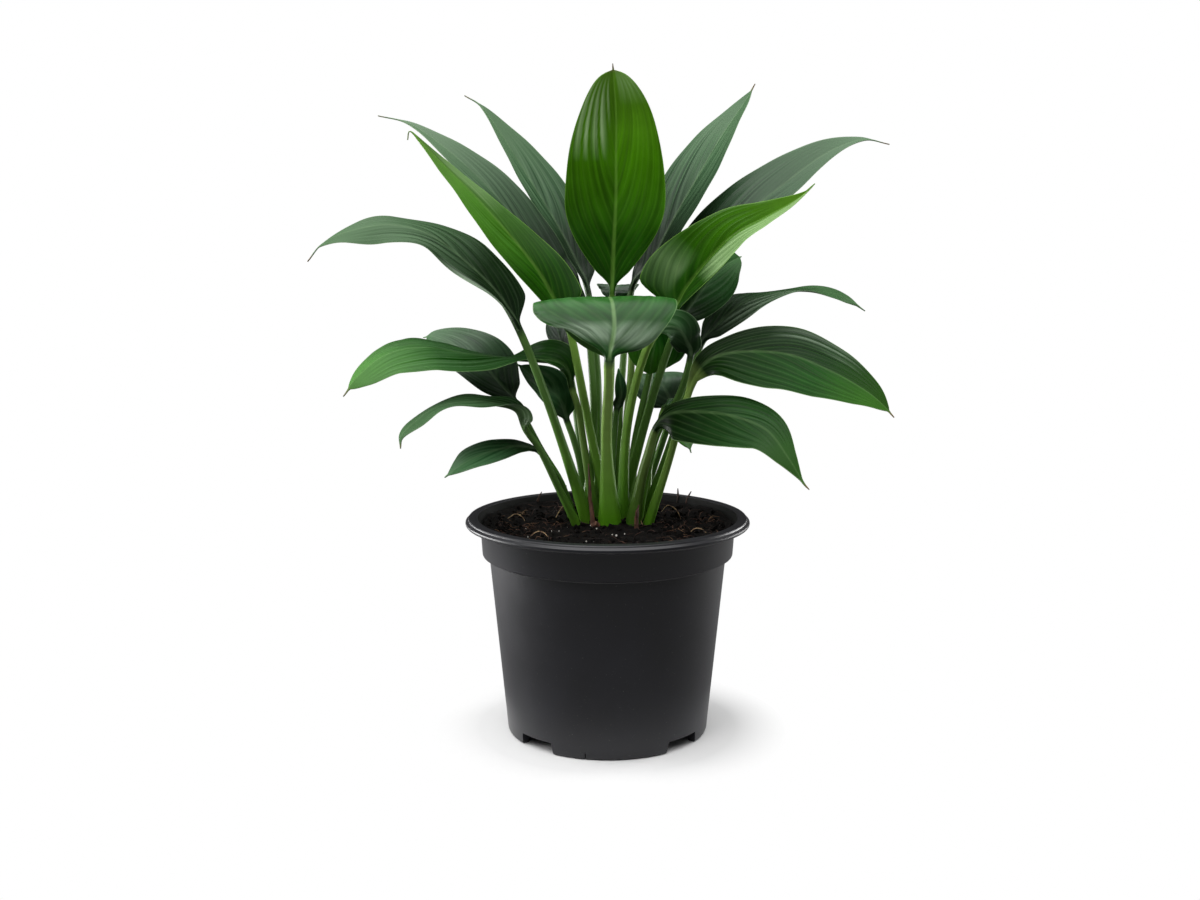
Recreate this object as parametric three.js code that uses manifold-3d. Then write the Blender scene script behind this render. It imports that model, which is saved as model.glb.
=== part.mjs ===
// A cast iron plant in a black nursery pot: two dozen leaves, each a stalk and a blade in one piece,
// stand in holes in the potting soil. Millimetres, +Z up. The origin is the centre of the pot's foot,
// on the surface that it stands on, and -Y is the side that faces the viewer.
import * as THREE from "three";
import { mergeVertices } from "three/addons/utils/BufferGeometryUtils.js";
import Module from "manifold-3d";

const wasm = await Module();
wasm.setup();

// Pot: a 24 cm moulded container, measured across its lip
const LIP_RADIUS = 120;
const RIM_RADIUS = 117.7;
const MOUTH_RADIUS = 109.3;
const COLLAR_TOP_RADIUS = 107.3;
const COLLAR_BOTTOM_RADIUS = 105.9;
const BODY_TOP_RADIUS = 100;
const FOOT_RADIUS = 85.5;
const RIM_Z = 184.5;
const LIP_Z = 180.2;
const COLLAR_TOP_Z = 175;
const COLLAR_BOTTOM_Z = 153.1;
const BODY_TOP_Z = 151;
const WALL = 2;
const FLOOR_Z = 10;
const FOOT_WIDTH = 7;
const POT_SIDES = 60;

// Four gaps in the foot let water out, with round holes in the raised floor between them
const GAP_COUNT = 4;
const GAP_TURN = 46.7;
const GAP_HALF_ANGLE = 11;
const GAP_SLANT = 1.6;
const SLIT_TURN = 168;
const SLIT_WIDTH = 0.8;
const SLIT_HEIGHT = 5.5;
const SLIT_DEPTH = 3;
const DRAIN_COUNT = 8;
const DRAIN_RING = 58;
const DRAIN_RADIUS = 6;
const DRAIN_SIDES = 16;
const CUT_DEPTH = 30;

// Soil: a low mound round the crown, 10 mm under the rim at the wall
const CLEARANCE = 0.3;
const SOIL_EDGE_Z = 174;
const SOIL_CROWN_RISE = 6;
const SOIL_CROWN_REACH = 55;
const SOIL_CROWN_Y = 10;
const SOIL_LUMP = 0.8;
const SOIL_RINGS = 7;
const SOIL_SIDES = 32;

// Leaves: a stalk is round, and a blade is thin at its margins with a stouter midrib
const ROOT_DEPTH = 9;
const BLADE_THICKNESS = 0.9;
const MARGIN_THICKNESS = 0.7;
const TIP_HALF_WIDTH = 0.9;
const RIB_SHARE_OF_NECK = 1.1;
const MARGINS_OUT_OF_STEP = 0.37;
const STALK_RINGS = 6;
const FLARE_SHARE = 0.5;
const CURVE_STEPS = 200;
const BLADE_STEP = 9.5;
const BLADE_RINGS_LEAST = 9;
const BLADE_RINGS_MOST = 20;
const NECK_SHARE = 0.1;
const STALK_FOOT = 5;
const STALK_MIDDLE = 3.6;
const STALK_NECK = 2.8;

// Each leaf has points on its stalk from the soil up, then points on its midrib, and these values:
//   width    the blade's full width
//   belly    how far along the blade that width is reached, as a share of the length
//   full     how the base half widens: below 1 it is round, over 1 it is drawn in
//   point    how the tip half narrows, in the same way
//   tail     the share of the length that is the drawn-out tip
//   heading  the compass direction that the blade points in: 0 is +X and 90 is +Y
//   roll     how far the blade is turned about its midrib
//   fold     how far its halves rise from flat, like a shallow V
//   curl     how much further a margin rises than the middle of its half
//   skew     how much wider the half on the side direction is than the other
//   wave     how high the margins ripple, and waves is how often
//   foot     the stalk's radius at the root, stalk above its flare, and neck at the blade
// Turns are in degrees. Roll, fold, curl and skew are one value, or values at base, middle and tip,
// or five values at every quarter of the blade.
const LEAVES = [
  {
    name: "leaf_centre_tall", finish: "bright",
    stalkLine: [[-1, 38, 176], [0, 40, 234], [3, 44, 304]],
    midrib: [
      [4, 50, 369], [5, 52, 407], [7, 54, 450], [7, 54, 486], [7, 52, 519], [5, 47, 548],
      [4, 44, 561],
    ],
    width: 88, belly: 0.42, full: 1.1, point: 0.46, tail: 0.03, heading: 80, fold: 8,
  },
  {
    name: "leaf_upper_left_back", finish: "dark",
    stalkLine: [[-20, 16, 176], [-13, 28, 236], [-13, 36, 296]],
    midrib: [
      [-22, 42, 367], [-47, 46, 397], [-74, 50, 427], [-106, 54, 463], [-140, 58, 493],
      [-170, 62, 513], [-197, 64, 520],
    ],
    width: 50, belly: 0.42, full: 0.8, point: 1.2, tail: 0.05, heading: 135, roll: 5, fold: 12,
  },
  {
    name: "leaf_upper_left_bright", finish: "bright",
    stalkLine: [[2, 14, 176], [-15, 12, 256], [-29, 14, 328]],
    midrib: [
      [-34, 15, 344], [-43, 16, 362], [-59, 18, 390], [-83, 20, 420], [-111, 20, 451],
      [-134, 18, 474], [-152, 14, 493], [-162, 10, 503], [-164, 8, 496],
    ],
    width: 48, belly: 0.44, full: 0.34, point: 1.05, tail: 0.04, heading: 165, roll: [70, 26, 20],
    fold: 12, skew: [0.75, -0.32, -0.2], foot: 5.6, stalk: 4.3, neck: 3.2,
  },
  {
    name: "leaf_back_left_tall", finish: "dark",
    stalkLine: [[-11, 25, 176], [-8, 44, 229], [-9, 58, 302]],
    midrib: [
      [-17, 68, 369], [-28, 78, 396], [-47, 92, 431], [-70, 104, 468], [-91, 112, 501],
      [-112, 117, 531], [-128, 117, 542],
    ],
    width: 62, belly: 0.42, full: 0.8, point: 1.1, tail: 0.05, heading: 125, roll: -14, fold: 16,
    skew: 0.13,
  },
  {
    name: "leaf_back_right_tall", finish: "dark",
    stalkLine: [[9, 33, 176], [9, 44, 234], [13, 58, 302]],
    midrib: [
      [21, 68, 372], [38, 74, 396], [57, 84, 431], [78, 94, 467], [100, 104, 504],
      [122, 114, 536], [131, 117, 552],
    ],
    width: 76, belly: 0.46, full: 0.8, point: 0.85, tail: 0.03, heading: 60, roll: 22, fold: 12,
    skew: -0.05,
  },
  {
    name: "leaf_far_right_high", finish: "dark",
    stalkLine: [[21, 30, 176], [23, 38, 234], [37, 46, 303]],
    midrib: [
      [49, 54, 364], [77, 60, 400], [115, 66, 433], [153, 70, 463], [189, 72, 489],
      [219, 70, 500], [242, 66, 496],
    ],
    width: 53, belly: 0.42, full: 0.8, point: 1, tail: 0.05, heading: 35, roll: -26, fold: 6,
    skew: -0.25,
  },
  {
    name: "leaf_upper_right_bright", finish: "bright",
    stalkLine: [[13, 9, 176], [16, 6, 257], [32, 3, 324]],
    midrib: [
      [53, 2, 353], [64, 2, 374], [82, 0, 398], [103, -2, 419], [126, -6, 432],
      [146, -10, 443], [159, -12, 452], [167, -14, 460],
    ],
    width: 58, belly: 0.26, full: 0.34, point: 1.1, tail: 0.03, heading: 20, roll: -36, fold: 26,
    skew: [-0.8, -0.02, -0.1], foot: 6.2, stalk: 4.3, neck: 3.2,
  },
  {
    name: "leaf_front_arching", finish: "middle",
    stalkLine: [[2, -5, 176], [-1, -28, 253], [1, -56, 301]],
    midrib: [
      [1, -78, 323], [5, -73, 346], [4, -58, 364], [1, -40, 370], [-1, -24, 361],
      [-3, -16, 338], [-1, -14, 316],
    ],
    width: 115, belly: 0.43, full: 0.85, point: 0.85, tail: 0.03, heading: 92, roll: 1, fold: 4,
    curl: -16, skew: -0.09, foot: 11.8, stalk: 5.2, neck: 3.8,
  },
  {
    name: "leaf_left_long", finish: "dark",
    stalkLine: [[-16, 1, 176], [-35, -14, 240], [-52, -30, 294]],
    midrib: [
      [-71, -38, 344], [-88, -40, 373], [-113, -40, 398], [-141, -38, 419], [-173, -38, 427],
      [-206, -34, 422], [-229, -30, 412], [-242, -26, 398],
    ],
    width: 58, belly: 0.3, full: 0.42, point: 0.95, tail: 0.06, heading: 190, roll: [30, 32, 32],
    fold: [18, -5, -14], skew: [0.4, 0.1, -0.42], wave: 3.5, waves: 2.5, foot: 7, stalk: 4.3,
    neck: 3.2,
  },
  {
    name: "leaf_left_low_wavy", finish: "dark",
    stalkLine: [[-25, -7, 176], [-40, -18, 210], [-55, -30, 245]],
    midrib: [
      [-66, -36, 262], [-73, -42, 280], [-92, -50, 286], [-116, -60, 288], [-135, -70, 285],
      [-150, -78, 275], [-160, -86, 265], [-161, -88, 255],
    ],
    width: 42, belly: 0.25, full: 0.5, point: 0.85, tail: 0.03, heading: 200, roll: [15, 4, 34],
    fold: [30, 0, -6], wave: 2.5, waves: 2,
  },
  {
    name: "leaf_left_broad", finish: "middle",
    stalkLine: [[-9, 12, 176], [-17, 12, 221], [-25, 19, 272]],
    midrib: [
      [-31, 24, 291], [-34, 25, 304], [-41, 23, 312], [-56, 15, 315], [-83, 0, 318],
      [-115, -28, 324], [-145, -52, 331], [-172, -70, 327], [-192, -84, 312], [-204, -90, 296],
    ],
    width: 68, belly: 0.58, full: 0.62, point: 0.66, tail: 0.03, heading: 195,
    roll: [75, -5, 17, 24, 35], fold: [22, -12, -18], skew: [0.3, 0.28, -0.2],
  },
  {
    name: "leaf_right_inner_small", finish: "dark",
    stalkLine: [[25, 8, 176], [40, 12, 247], [60, 6, 286]],
    midrib: [[69, 2, 319], [66, -2, 331], [59, -8, 342], [49, -14, 345], [39, -19, 341]],
    width: 31, belly: 0.45, full: 0.5, point: 0.65, tail: 0.04, heading: 180, roll: 74, fold: -12,
    skew: 0.15,
  },
  {
    name: "leaf_right_upright", finish: "dark",
    stalkLine: [[11, 21, 176], [28, 16, 247], [42, 13, 297]],
    midrib: [[58, 19, 342], [70, 27, 360], [84, 33, 378], [99, 37, 393], [114, 41, 401]],
    width: 52, belly: 0.56, full: 0.7, point: 0.55, tail: 0.02, heading: 40, roll: -40, fold: 12,
    stalk: 4.3, neck: 3.2,
  },
  {
    name: "leaf_right_broad", finish: "middle",
    stalkLine: [[34, -2, 176], [49, -8, 225], [62, -12, 274]],
    midrib: [
      [66, -14, 287], [72, -17, 306], [86, -22, 320], [109, -32, 326], [144, -48, 325],
      [176, -64, 313], [201, -78, 299], [214, -86, 288], [221, -90, 280],
    ],
    width: 73, belly: 0.5, full: 1.4, point: 0.75, tail: 0.03, heading: -10,
    roll: [-75, -41, -40, -40, -40], fold: -8, skew: -0.02,
  },
  {
    name: "leaf_right_low", finish: "middle",
    stalkLine: [[21, -4, 176], [28, -12, 217], [34, -18, 241]],
    midrib: [
      [40, -24, 262], [51, -35, 276], [79, -50, 279], [103, -68, 277], [124, -86, 269],
      [138, -100, 251], [149, -108, 233], [154, -110, 227],
    ],
    width: 51, belly: 0.44, full: 0.42, point: 1.15, tail: 0.03, heading: -20, roll: -48,
    fold: -14, skew: [0.35, 0.05, 0.06], foot: 7.6, stalk: 5.2, neck: 3.4,
  },
  {
    name: "leaf_right_wavy", finish: "dark",
    stalkLine: [[31, 17, 176], [52, 20, 237], [70, 26, 293]],
    midrib: [
      [80, 42, 325], [94, 46, 342], [121, 52, 363], [157, 64, 371], [193, 78, 369],
      [213, 86, 363], [230, 92, 352],
    ],
    width: 48, belly: 0.33, full: 0.7, point: 0.8, tail: 0.05, heading: 15, roll: [-35, -8, -40],
    fold: [4, 0, -4], wave: 4, waves: 1.5,
  },
  {
    name: "leaf_left_behind", finish: "dark",
    stalkLine: [[-30, 17, 176], [-40, 22, 208], [-58, 30, 237]],
    midrib: [
      [-80, 36, 277], [-96, 42, 295], [-113, 52, 312], [-134, 64, 323], [-154, 74, 330],
      [-164, 80, 329],
    ],
    width: 62, belly: 0.42, full: 0.7, point: 0.65, tail: 0.04, heading: 170, roll: 35, fold: 8,
    foot: 4, stalk: 3,
  },
  {
    name: "leaf_left_inner", finish: "dark",
    stalkLine: [[-21, 27, 176], [-23, 28, 219], [-29, 26, 245]],
    midrib: [[-35, 26, 262], [-40, 26, 278], [-50, 28, 291], [-63, 30, 300], [-78, 32, 310]],
    width: 37, belly: 0.45, full: 0.7, point: 0.8, tail: 0.04, heading: 160, roll: 35, fold: 12,
    foot: 4.4, stalk: 3,
  },
  {
    name: "leaf_left_lowest", finish: "dark",
    stalkLine: [[-27, 6, 176], [-35, -4, 205], [-45, -16, 226]],
    midrib: [
      [-57, -24, 243], [-71, -34, 249], [-87, -44, 248], [-103, -52, 244], [-116, -60, 238],
      [-130, -64, 228],
    ],
    width: 30, belly: 0.6, full: 0.9, point: 0.85, tail: 0.03, heading: 195, roll: 30, fold: -6,
    skew: 0.15, foot: 3.8, stalk: 2.4, neck: 2,
  },
  {
    name: "leaf_new_rolled", finish: "dark",
    stalkLine: [[2, 26, 176], [4, 26, 219], [6, 26, 254]],
    midrib: [[8, 25, 273], [11, 24, 283], [11, 24, 293], [10, 24, 300], [9, 24, 307]],
    width: 11, belly: 0.5, full: 0.7, point: 0.8, tail: 0.03, heading: 90, fold: 20, foot: 4.4,
    stalk: 3,
  },
  {
    name: "leaf_centre_drooping", finish: "middle",
    stalkLine: [[22, 41, 176], [16, 48, 240], [20, 40, 300]],
    midrib: [
      [22, 32, 349], [29, 26, 358], [37, 22, 350], [40, 20, 333], [37, 18, 315], [35, 18, 301],
    ],
    width: 60, belly: 0.62, full: 0.7, point: 0.6, tail: 0.03, heading: -60, roll: -6, fold: 4,
    foot: 4.4,
  },
  {
    name: "leaf_back_low", finish: "dark",
    stalkLine: [[27, 51, 176], [40, 58, 213], [52, 60, 249]],
    midrib: [[58, 62, 266], [54, 66, 278], [47, 74, 290], [40, 88, 295], [34, 104, 294]],
    width: 62, belly: 0.45, full: 0.6, point: 0.6, tail: 0.03, heading: 110, roll: 0, fold: 4,
    foot: 4.4,
  },
  {
    name: "leaf_left_inner_upper", finish: "dark",
    stalkLine: [[-13, 36, 176], [-21, 44, 216], [-29, 52, 277]],
    midrib: [[-37, 58, 318], [-42, 58, 330], [-45, 57, 342], [-45, 54, 351], [-43, 48, 359]],
    width: 44, belly: 0.5, full: 0.6, point: 0.7, tail: 0.03, heading: 160, roll: 10, fold: 6,
    foot: 4.4,
  },
  {
    name: "leaf_right_under_small", finish: "middle",
    stalkLine: [[34, 32, 176], [37, 38, 226], [45, 40, 256]],
    midrib: [[49, 42, 271], [55, 44, 272], [63, 44, 260], [69, 44, 244], [73, 44, 231]],
    width: 32, belly: 0.5, full: 0.6, point: 0.7, tail: 0.08, heading: -40, roll: -10, fold: 2,
    foot: 4.2, stalk: 3,
  },
  {
    name: "leaf_back_hidden", finish: "dark",
    stalkLine: [[5, 49, 176], [0, 60, 240], [2, 68, 301]],
    midrib: [[4, 74, 361], [7, 82, 371], [9, 92, 375], [9, 106, 369], [8, 114, 355]],
    width: 38, belly: 0.5, full: 0.6, point: 0.7, tail: 0.05, heading: 92, roll: 0, fold: 2,
    foot: 4.4, stalk: 3,
  },
];

// Dry brown sheaths of old leaves, at the foot of the stalks
const DRY_SHEATHS = [
  {
    name: "dry_sheath_left", finish: "dry",
    stalkLine: [[-12, -14, 178], [-13, -13, 190]],
    midrib: [[-14, -10, 197], [-15, -9, 212], [-16, -8, 230]],
    width: 6, belly: 0.3, full: 0.6, point: 1, tail: 0.1, heading: 180, fold: 20,
    foot: 3.6, stalk: 2.6, neck: 1.8,
  },
  {
    name: "dry_sheath_right", finish: "dry",
    stalkLine: [[24, -19, 177], [24, -19, 183]],
    midrib: [[24, -19, 187], [25, -19, 192], [26, -19, 197]],
    width: 7, belly: 0.4, full: 0.6, point: 1, tail: 0.1, heading: 0, fold: 20,
    foot: 3, stalk: 2.4, neck: 1.8,
  },
];

// What an unlisted value is
const PLAIN_LEAF = {
  belly: 0.42, full: 0.8, point: 0.9, tail: 0.05, roll: 0, fold: 10, curl: 0, skew: 0, wave: 0, waves: 2,
  foot: STALK_FOOT, stalk: STALK_MIDDLE, neck: STALK_NECK, finish: "dark",
};

// Colours and gloss
const FINISHES = {
  bright: { color: 0x3f7d16, roughness: 0.42, metalness: 0 },
  middle: { color: 0x2c6428, roughness: 0.38, metalness: 0 },
  dark: { color: 0x1d4226, roughness: 0.4, metalness: 0 },
  dry: { color: 0x6f4526, roughness: 0.9, metalness: 0 },
  plastic: { color: 0x27272a, roughness: 0.5, metalness: 0 },
  peat: { color: 0x1d140e, roughness: 0.95, metalness: 0 },
};

const radians = THREE.MathUtils.degToRad;

function named(name, geometry, finish) {
  const mesh = new THREE.Mesh(geometry, new THREE.MeshStandardMaterial(FINISHES[finish]));
  mesh.name = name;
  return mesh;
}

// Join and cut

function toSolid(geometry) {
  const bare = geometry.clone();
  bare.deleteAttribute("normal");
  bare.deleteAttribute("uv");
  const merged = mergeVertices(bare, 1e-4);
  return new wasm.Manifold(new wasm.Mesh({
    numProp: 3,
    vertProperties: merged.attributes.position.array,
    triVerts: new Uint32Array(merged.index.array),
  }));
}

function toGeometry(solid) {
  const mesh = solid.getMesh();
  const geometry = new THREE.BufferGeometry();
  geometry.setAttribute("position", new THREE.BufferAttribute(mesh.vertProperties, 3));
  geometry.setIndex(new THREE.BufferAttribute(mesh.triVerts, 1));
  return geometry;
}

// Turns a profile of [radius, height] points round the Z axis
function turned(profile, sides) {
  const points = profile.map(([r, z]) => new THREE.Vector2(r, z));
  return new THREE.LatheGeometry(points, sides).rotateX(Math.PI / 2);
}

// Pot

const wallAt = (z) => FOOT_RADIUS + (BODY_TOP_RADIUS - FOOT_RADIUS) * z / BODY_TOP_Z;
const floorTop = FLOOR_Z + WALL;

// Up the inner wall, from the floor to just under the mouth
const potInside = [
  [wallAt(floorTop) - WALL, floorTop],
  [BODY_TOP_RADIUS - WALL, BODY_TOP_Z],
  [COLLAR_BOTTOM_RADIUS - WALL, COLLAR_BOTTOM_Z + WALL],
  [COLLAR_TOP_RADIUS - WALL, COLLAR_TOP_Z],
];

// From the mouth over the rolled rim, the lip, the collar and the body to the foot ring, with each
// edge taken off by a millimetre or so
const potOutside = [
  [MOUTH_RADIUS, RIM_Z - 0.6],
  [MOUTH_RADIUS + 1, RIM_Z],
  [RIM_RADIUS - 1.4, RIM_Z],
  [RIM_RADIUS, RIM_Z - 0.8],
  [RIM_RADIUS + 0.1, RIM_Z - 1.9],
  [LIP_RADIUS - 0.8, RIM_Z - 2.6],
  [LIP_RADIUS, LIP_Z],
  [LIP_RADIUS - 0.7, LIP_Z - 1.6],
  [LIP_RADIUS - 4, LIP_Z - 3],
  [COLLAR_TOP_RADIUS + 2, COLLAR_TOP_Z + 1.6],
  [COLLAR_TOP_RADIUS, COLLAR_TOP_Z],
  [COLLAR_BOTTOM_RADIUS, COLLAR_BOTTOM_Z],
  [COLLAR_BOTTOM_RADIUS - 1, COLLAR_BOTTOM_Z - 0.6],
  [BODY_TOP_RADIUS, BODY_TOP_Z],
  [wallAt(6), 6],
  [FOOT_RADIUS - 0.4, 0.8],
  [FOOT_RADIUS - 1.2, 0],
  [FOOT_RADIUS - FOOT_WIDTH, 0],
  [FOOT_RADIUS - FOOT_WIDTH - 1.5, FLOOR_Z],
];

function footGap(turn) {
  const half = Math.tan(radians(GAP_HALF_ANGLE)) * FOOT_RADIUS;
  const shape = new THREE.Shape([
    new THREE.Vector2(-half - GAP_SLANT, -1),
    new THREE.Vector2(half + GAP_SLANT, -1),
    new THREE.Vector2(half, FLOOR_Z),
    new THREE.Vector2(-half, FLOOR_Z),
  ]);
  return new THREE.ExtrudeGeometry(shape, { depth: CUT_DEPTH, bevelEnabled: false })
    .rotateX(Math.PI / 2)
    .translate(0, CUT_DEPTH / 2 + 1 - FOOT_RADIUS, 0)
    .rotateZ(radians(turn));
}

function potGeometry() {
  const wall = [[0, floorTop], ...potInside, ...potOutside, [0, FLOOR_Z]].reverse();
  let pot = toSolid(turned(wall, POT_SIDES));
  for (let i = 0; i < GAP_COUNT; i++) {
    pot = pot.subtract(toSolid(footGap(GAP_TURN + i * 360 / GAP_COUNT)));
  }
  for (let i = 0; i < DRAIN_COUNT; i++) {
    const turn = radians((i + 0.5) * 360 / DRAIN_COUNT);
    const drain = new THREE.CylinderGeometry(DRAIN_RADIUS, DRAIN_RADIUS, WALL * 3, DRAIN_SIDES)
      .rotateX(Math.PI / 2)
      .translate(DRAIN_RING * Math.cos(turn), DRAIN_RING * Math.sin(turn), FLOOR_Z);
    pot = pot.subtract(toSolid(drain));
  }
  const slit = new THREE.BoxGeometry(SLIT_WIDTH, SLIT_DEPTH * 2, SLIT_HEIGHT * 2)
    .translate(0, FOOT_RADIUS, 0)
    .rotateZ(radians(SLIT_TURN));
  return toGeometry(pot.subtract(toSolid(slit)));
}

// Leaves

// A value given at base, middle and tip, or at every quarter, read at share u of the blade
function along(value, u) {
  if (typeof value === "number") return value;
  if (value.length === 3) {
    const [base, middle, tip] = value;
    return base * (1 - u) * (1 - 2 * u) + middle * 4 * u * (1 - u) + tip * u * (2 * u - 1);
  }
  const k = Math.min(Math.floor(u * (value.length - 1)), value.length - 2);
  const share = THREE.MathUtils.smoothstep(u * (value.length - 1), k, k + 1);
  return THREE.MathUtils.lerp(value[k], value[k + 1], share);
}

function halfWidth(leaf, u) {
  const share = Math.min(u / (1 - leaf.tail), 1);
  const rising = Math.sin(Math.PI / 2 * Math.min(share / leaf.belly, 1)) ** leaf.full;
  const past = Math.max(0, (share - leaf.belly) / (1 - leaf.belly));
  const falling = Math.max(0, Math.cos(Math.PI / 2 * past)) ** leaf.point;
  const blade = leaf.width / 2 * (share < leaf.belly ? rising : falling);
  const drawnOut = TIP_HALF_WIDTH * Math.sqrt((1 - u) / leaf.tail);
  return Math.max(blade, drawnOut, MARGIN_THICKNESS / 2);
}

// Points evenly spaced on a stretch of a curve, from one share of it to another
function evenly(curve, from, to, count) {
  const fine = [];
  for (let i = 0; i <= CURVE_STEPS; i++) {
    fine.push(curve.getPoint(from + (to - from) * i / CURVE_STEPS));
  }
  const lengths = [0];
  for (let i = 1; i < fine.length; i++) {
    lengths.push(lengths[i - 1] + fine[i].distanceTo(fine[i - 1]));
  }
  const rings = count ?? THREE.MathUtils.clamp(
    Math.round(lengths.at(-1) / BLADE_STEP), BLADE_RINGS_LEAST, BLADE_RINGS_MOST,
  );
  const points = [];
  for (let k = 0; k < rings; k++) {
    const wanted = lengths.at(-1) * k / (rings - 1);
    let i = 1;
    while (i < fine.length - 1 && lengths[i] < wanted) i++;
    const share = (wanted - lengths[i - 1]) / (lengths[i] - lengths[i - 1]);
    points.push(fine[i - 1].clone().lerp(fine[i], share));
  }
  return points;
}

// The direction of travel, and the blade's sideways and upward directions there
function frameAt(points, i, heading, roll) {
  const ahead = points[Math.min(i + 1, points.length - 1)];
  const behind = points[Math.max(i - 1, 0)];
  const forward = ahead.clone().sub(behind).normalize();
  const turn = radians(heading);
  const level = new THREE.Vector3(Math.sin(turn), -Math.cos(turn), 0);
  level.addScaledVector(forward, -level.dot(forward)).normalize();
  const lifted = level.clone().cross(forward);
  const angle = radians(roll);
  const side = level.multiplyScalar(Math.cos(angle)).addScaledVector(lifted, Math.sin(angle));
  return { side, up: side.clone().cross(forward) };
}

// Ten points round the leaf: across its upper face from one margin to the other, and back beneath
const ACROSS = [-1, -0.5, 0, 0.5, 1, 1, 0.5, 0, -0.5, -1];

function stalkRing(centre, frame, radius) {
  return ACROSS.map((_, i) => {
    const angle = Math.PI - 2 * Math.PI * (i + 0.5) / ACROSS.length;
    return centre.clone()
      .addScaledVector(frame.side, radius * Math.cos(angle))
      .addScaledVector(frame.up, radius * Math.sin(angle));
  });
}

function bladeRing(centre, frame, leaf, u) {
  const half = halfWidth(leaf, u);
  const fold = along(leaf.fold, u);
  const curl = along(leaf.curl, u);
  const rib = RIB_SHARE_OF_NECK * leaf.neck * (1 - u) ** 1.5;
  return ACROSS.map((across, i) => {
    const out = Math.abs(across);
    const reach = out * half * (1 + along(leaf.skew, u) * Math.sign(across));
    const angle = radians(fold + curl * out / 2);
    const turns = leaf.waves * u + (across > 0 ? MARGINS_OUT_OF_STEP : 0);
    const ripple = Math.sin(2 * Math.PI * turns) * Math.sin(Math.PI * u);
    const surface = reach * Math.sin(angle) + leaf.wave * out ** 1.5 * ripple;
    const thickness = out === 1 ? MARGIN_THICKNESS : BLADE_THICKNESS;
    const beneath = -thickness / 2 - (out === 0 ? rib : 0);
    const depth = i < ACROSS.length / 2 ? thickness / 2 : beneath;
    return centre.clone()
      .addScaledVector(frame.side, Math.sign(across) * reach * Math.cos(angle))
      .addScaledVector(frame.up, surface + depth);
  });
}

// Skins the rings. Both faces of a blade are split along the same diagonals.
function skin(rings) {
  const around = ACROSS.length;
  const positions = rings.flat().flatMap((p) => [p.x, p.y, p.z]);
  const faces = [];
  for (let r = 0; r < rings.length - 1; r++) {
    for (let i = 0; i < around; i++) {
      const j = (i + 1) % around;
      const [a, b] = [r * around + i, r * around + j];
      const [c, d] = [b + around, a + around];
      if (i < around / 2) faces.push(a, b, c, a, c, d);
      else faces.push(a, b, d, b, c, d);
    }
  }
  const last = (rings.length - 1) * around;
  for (let i = 0; i < around / 2 - 1; i++) {
    const [near, far] = [i, around - 1 - i];
    faces.push(near, far, far - 1, near, far - 1, near + 1);
    faces.push(last + near, last + far - 1, last + far, last + near, last + near + 1, last + far - 1);
  }
  const geometry = new THREE.BufferGeometry();
  geometry.setAttribute("position", new THREE.Float32BufferAttribute(positions, 3));
  geometry.setIndex(faces);
  return geometry;
}

// The line of a leaf, from its root below the soil to its tip, as points on its stalk and its blade
function leafLine(leaf) {
  const points = [...leaf.stalkLine, ...leaf.midrib].map((p) => new THREE.Vector3(...p));
  const root = points[0].clone().setZ(points[0].z - ROOT_DEPTH);
  const curve = new THREE.CatmullRomCurve3([root, ...points], false, "catmullrom", 0.5);
  const join = (leaf.stalkLine.length + 1) / points.length;
  return { stalk: evenly(curve, 0, join, STALK_RINGS + 1), blade: evenly(curve, join, 1) };
}

function stalkRadius(leaf, share) {
  const taper = leaf.stalk + (leaf.neck - leaf.stalk) * share;
  const flare = (leaf.foot - leaf.stalk) * Math.max(0, 1 - share / FLARE_SHARE) ** 1.5;
  return taper + flare;
}

function leafGeometry(spec) {
  const leaf = { ...PLAIN_LEAF, ...spec };
  const { stalk, blade } = leafLine(leaf);
  const rings = [];
  for (let i = 0; i < STALK_RINGS; i++) {
    const frame = frameAt(stalk, i, leaf.heading, along(leaf.roll, 0));
    rings.push(stalkRing(stalk[i], frame, stalkRadius(leaf, i / STALK_RINGS)));
  }
  for (let i = 0; i < blade.length; i++) {
    const u = i / (blade.length - 1);
    const frame = frameAt(blade, i, leaf.heading, along(leaf.roll, u));
    const flat = bladeRing(blade[i], frame, leaf, u);
    const round = stalkRing(blade[i], frame, leaf.neck);
    const share = THREE.MathUtils.smoothstep(u, 0, NECK_SHARE);
    rings.push(round.map((p, k) => p.lerp(flat[k], share)));
  }
  return skin(rings);
}

// What a stalk needs cut from the soil: its own shape, a little larger, as far as it is under the rim
function stalkHole(spec) {
  const leaf = { ...PLAIN_LEAF, ...spec };
  const { stalk } = leafLine(leaf);
  const rings = [];
  for (let i = 0; i < STALK_RINGS; i++) {
    const frame = frameAt(stalk, i, leaf.heading, along(leaf.roll, 0));
    const centre = stalk[i].clone();
    if (i === 0) centre.z -= CLEARANCE;
    rings.push(stalkRing(centre, frame, stalkRadius(leaf, i / STALK_RINGS) + CLEARANCE));
    if (stalk[i].z > RIM_Z) break;
  }
  return skin(rings);
}

// Soil

// The mound's height, with low lumps that follow a formula
function soilHeight(x, y) {
  const fromCrown = Math.hypot(x, y - SOIL_CROWN_Y);
  const mound = SOIL_CROWN_RISE * Math.exp(-((fromCrown / SOIL_CROWN_REACH) ** 2));
  const broad = Math.sin(x * 0.13 + 1.1) * Math.cos(y * 0.17);
  const small = Math.sin((x + y) * 0.29) * Math.cos((x - y) * 0.23);
  return SOIL_EDGE_Z + mound + SOIL_LUMP * broad + 0.6 * SOIL_LUMP * small;
}

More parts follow.
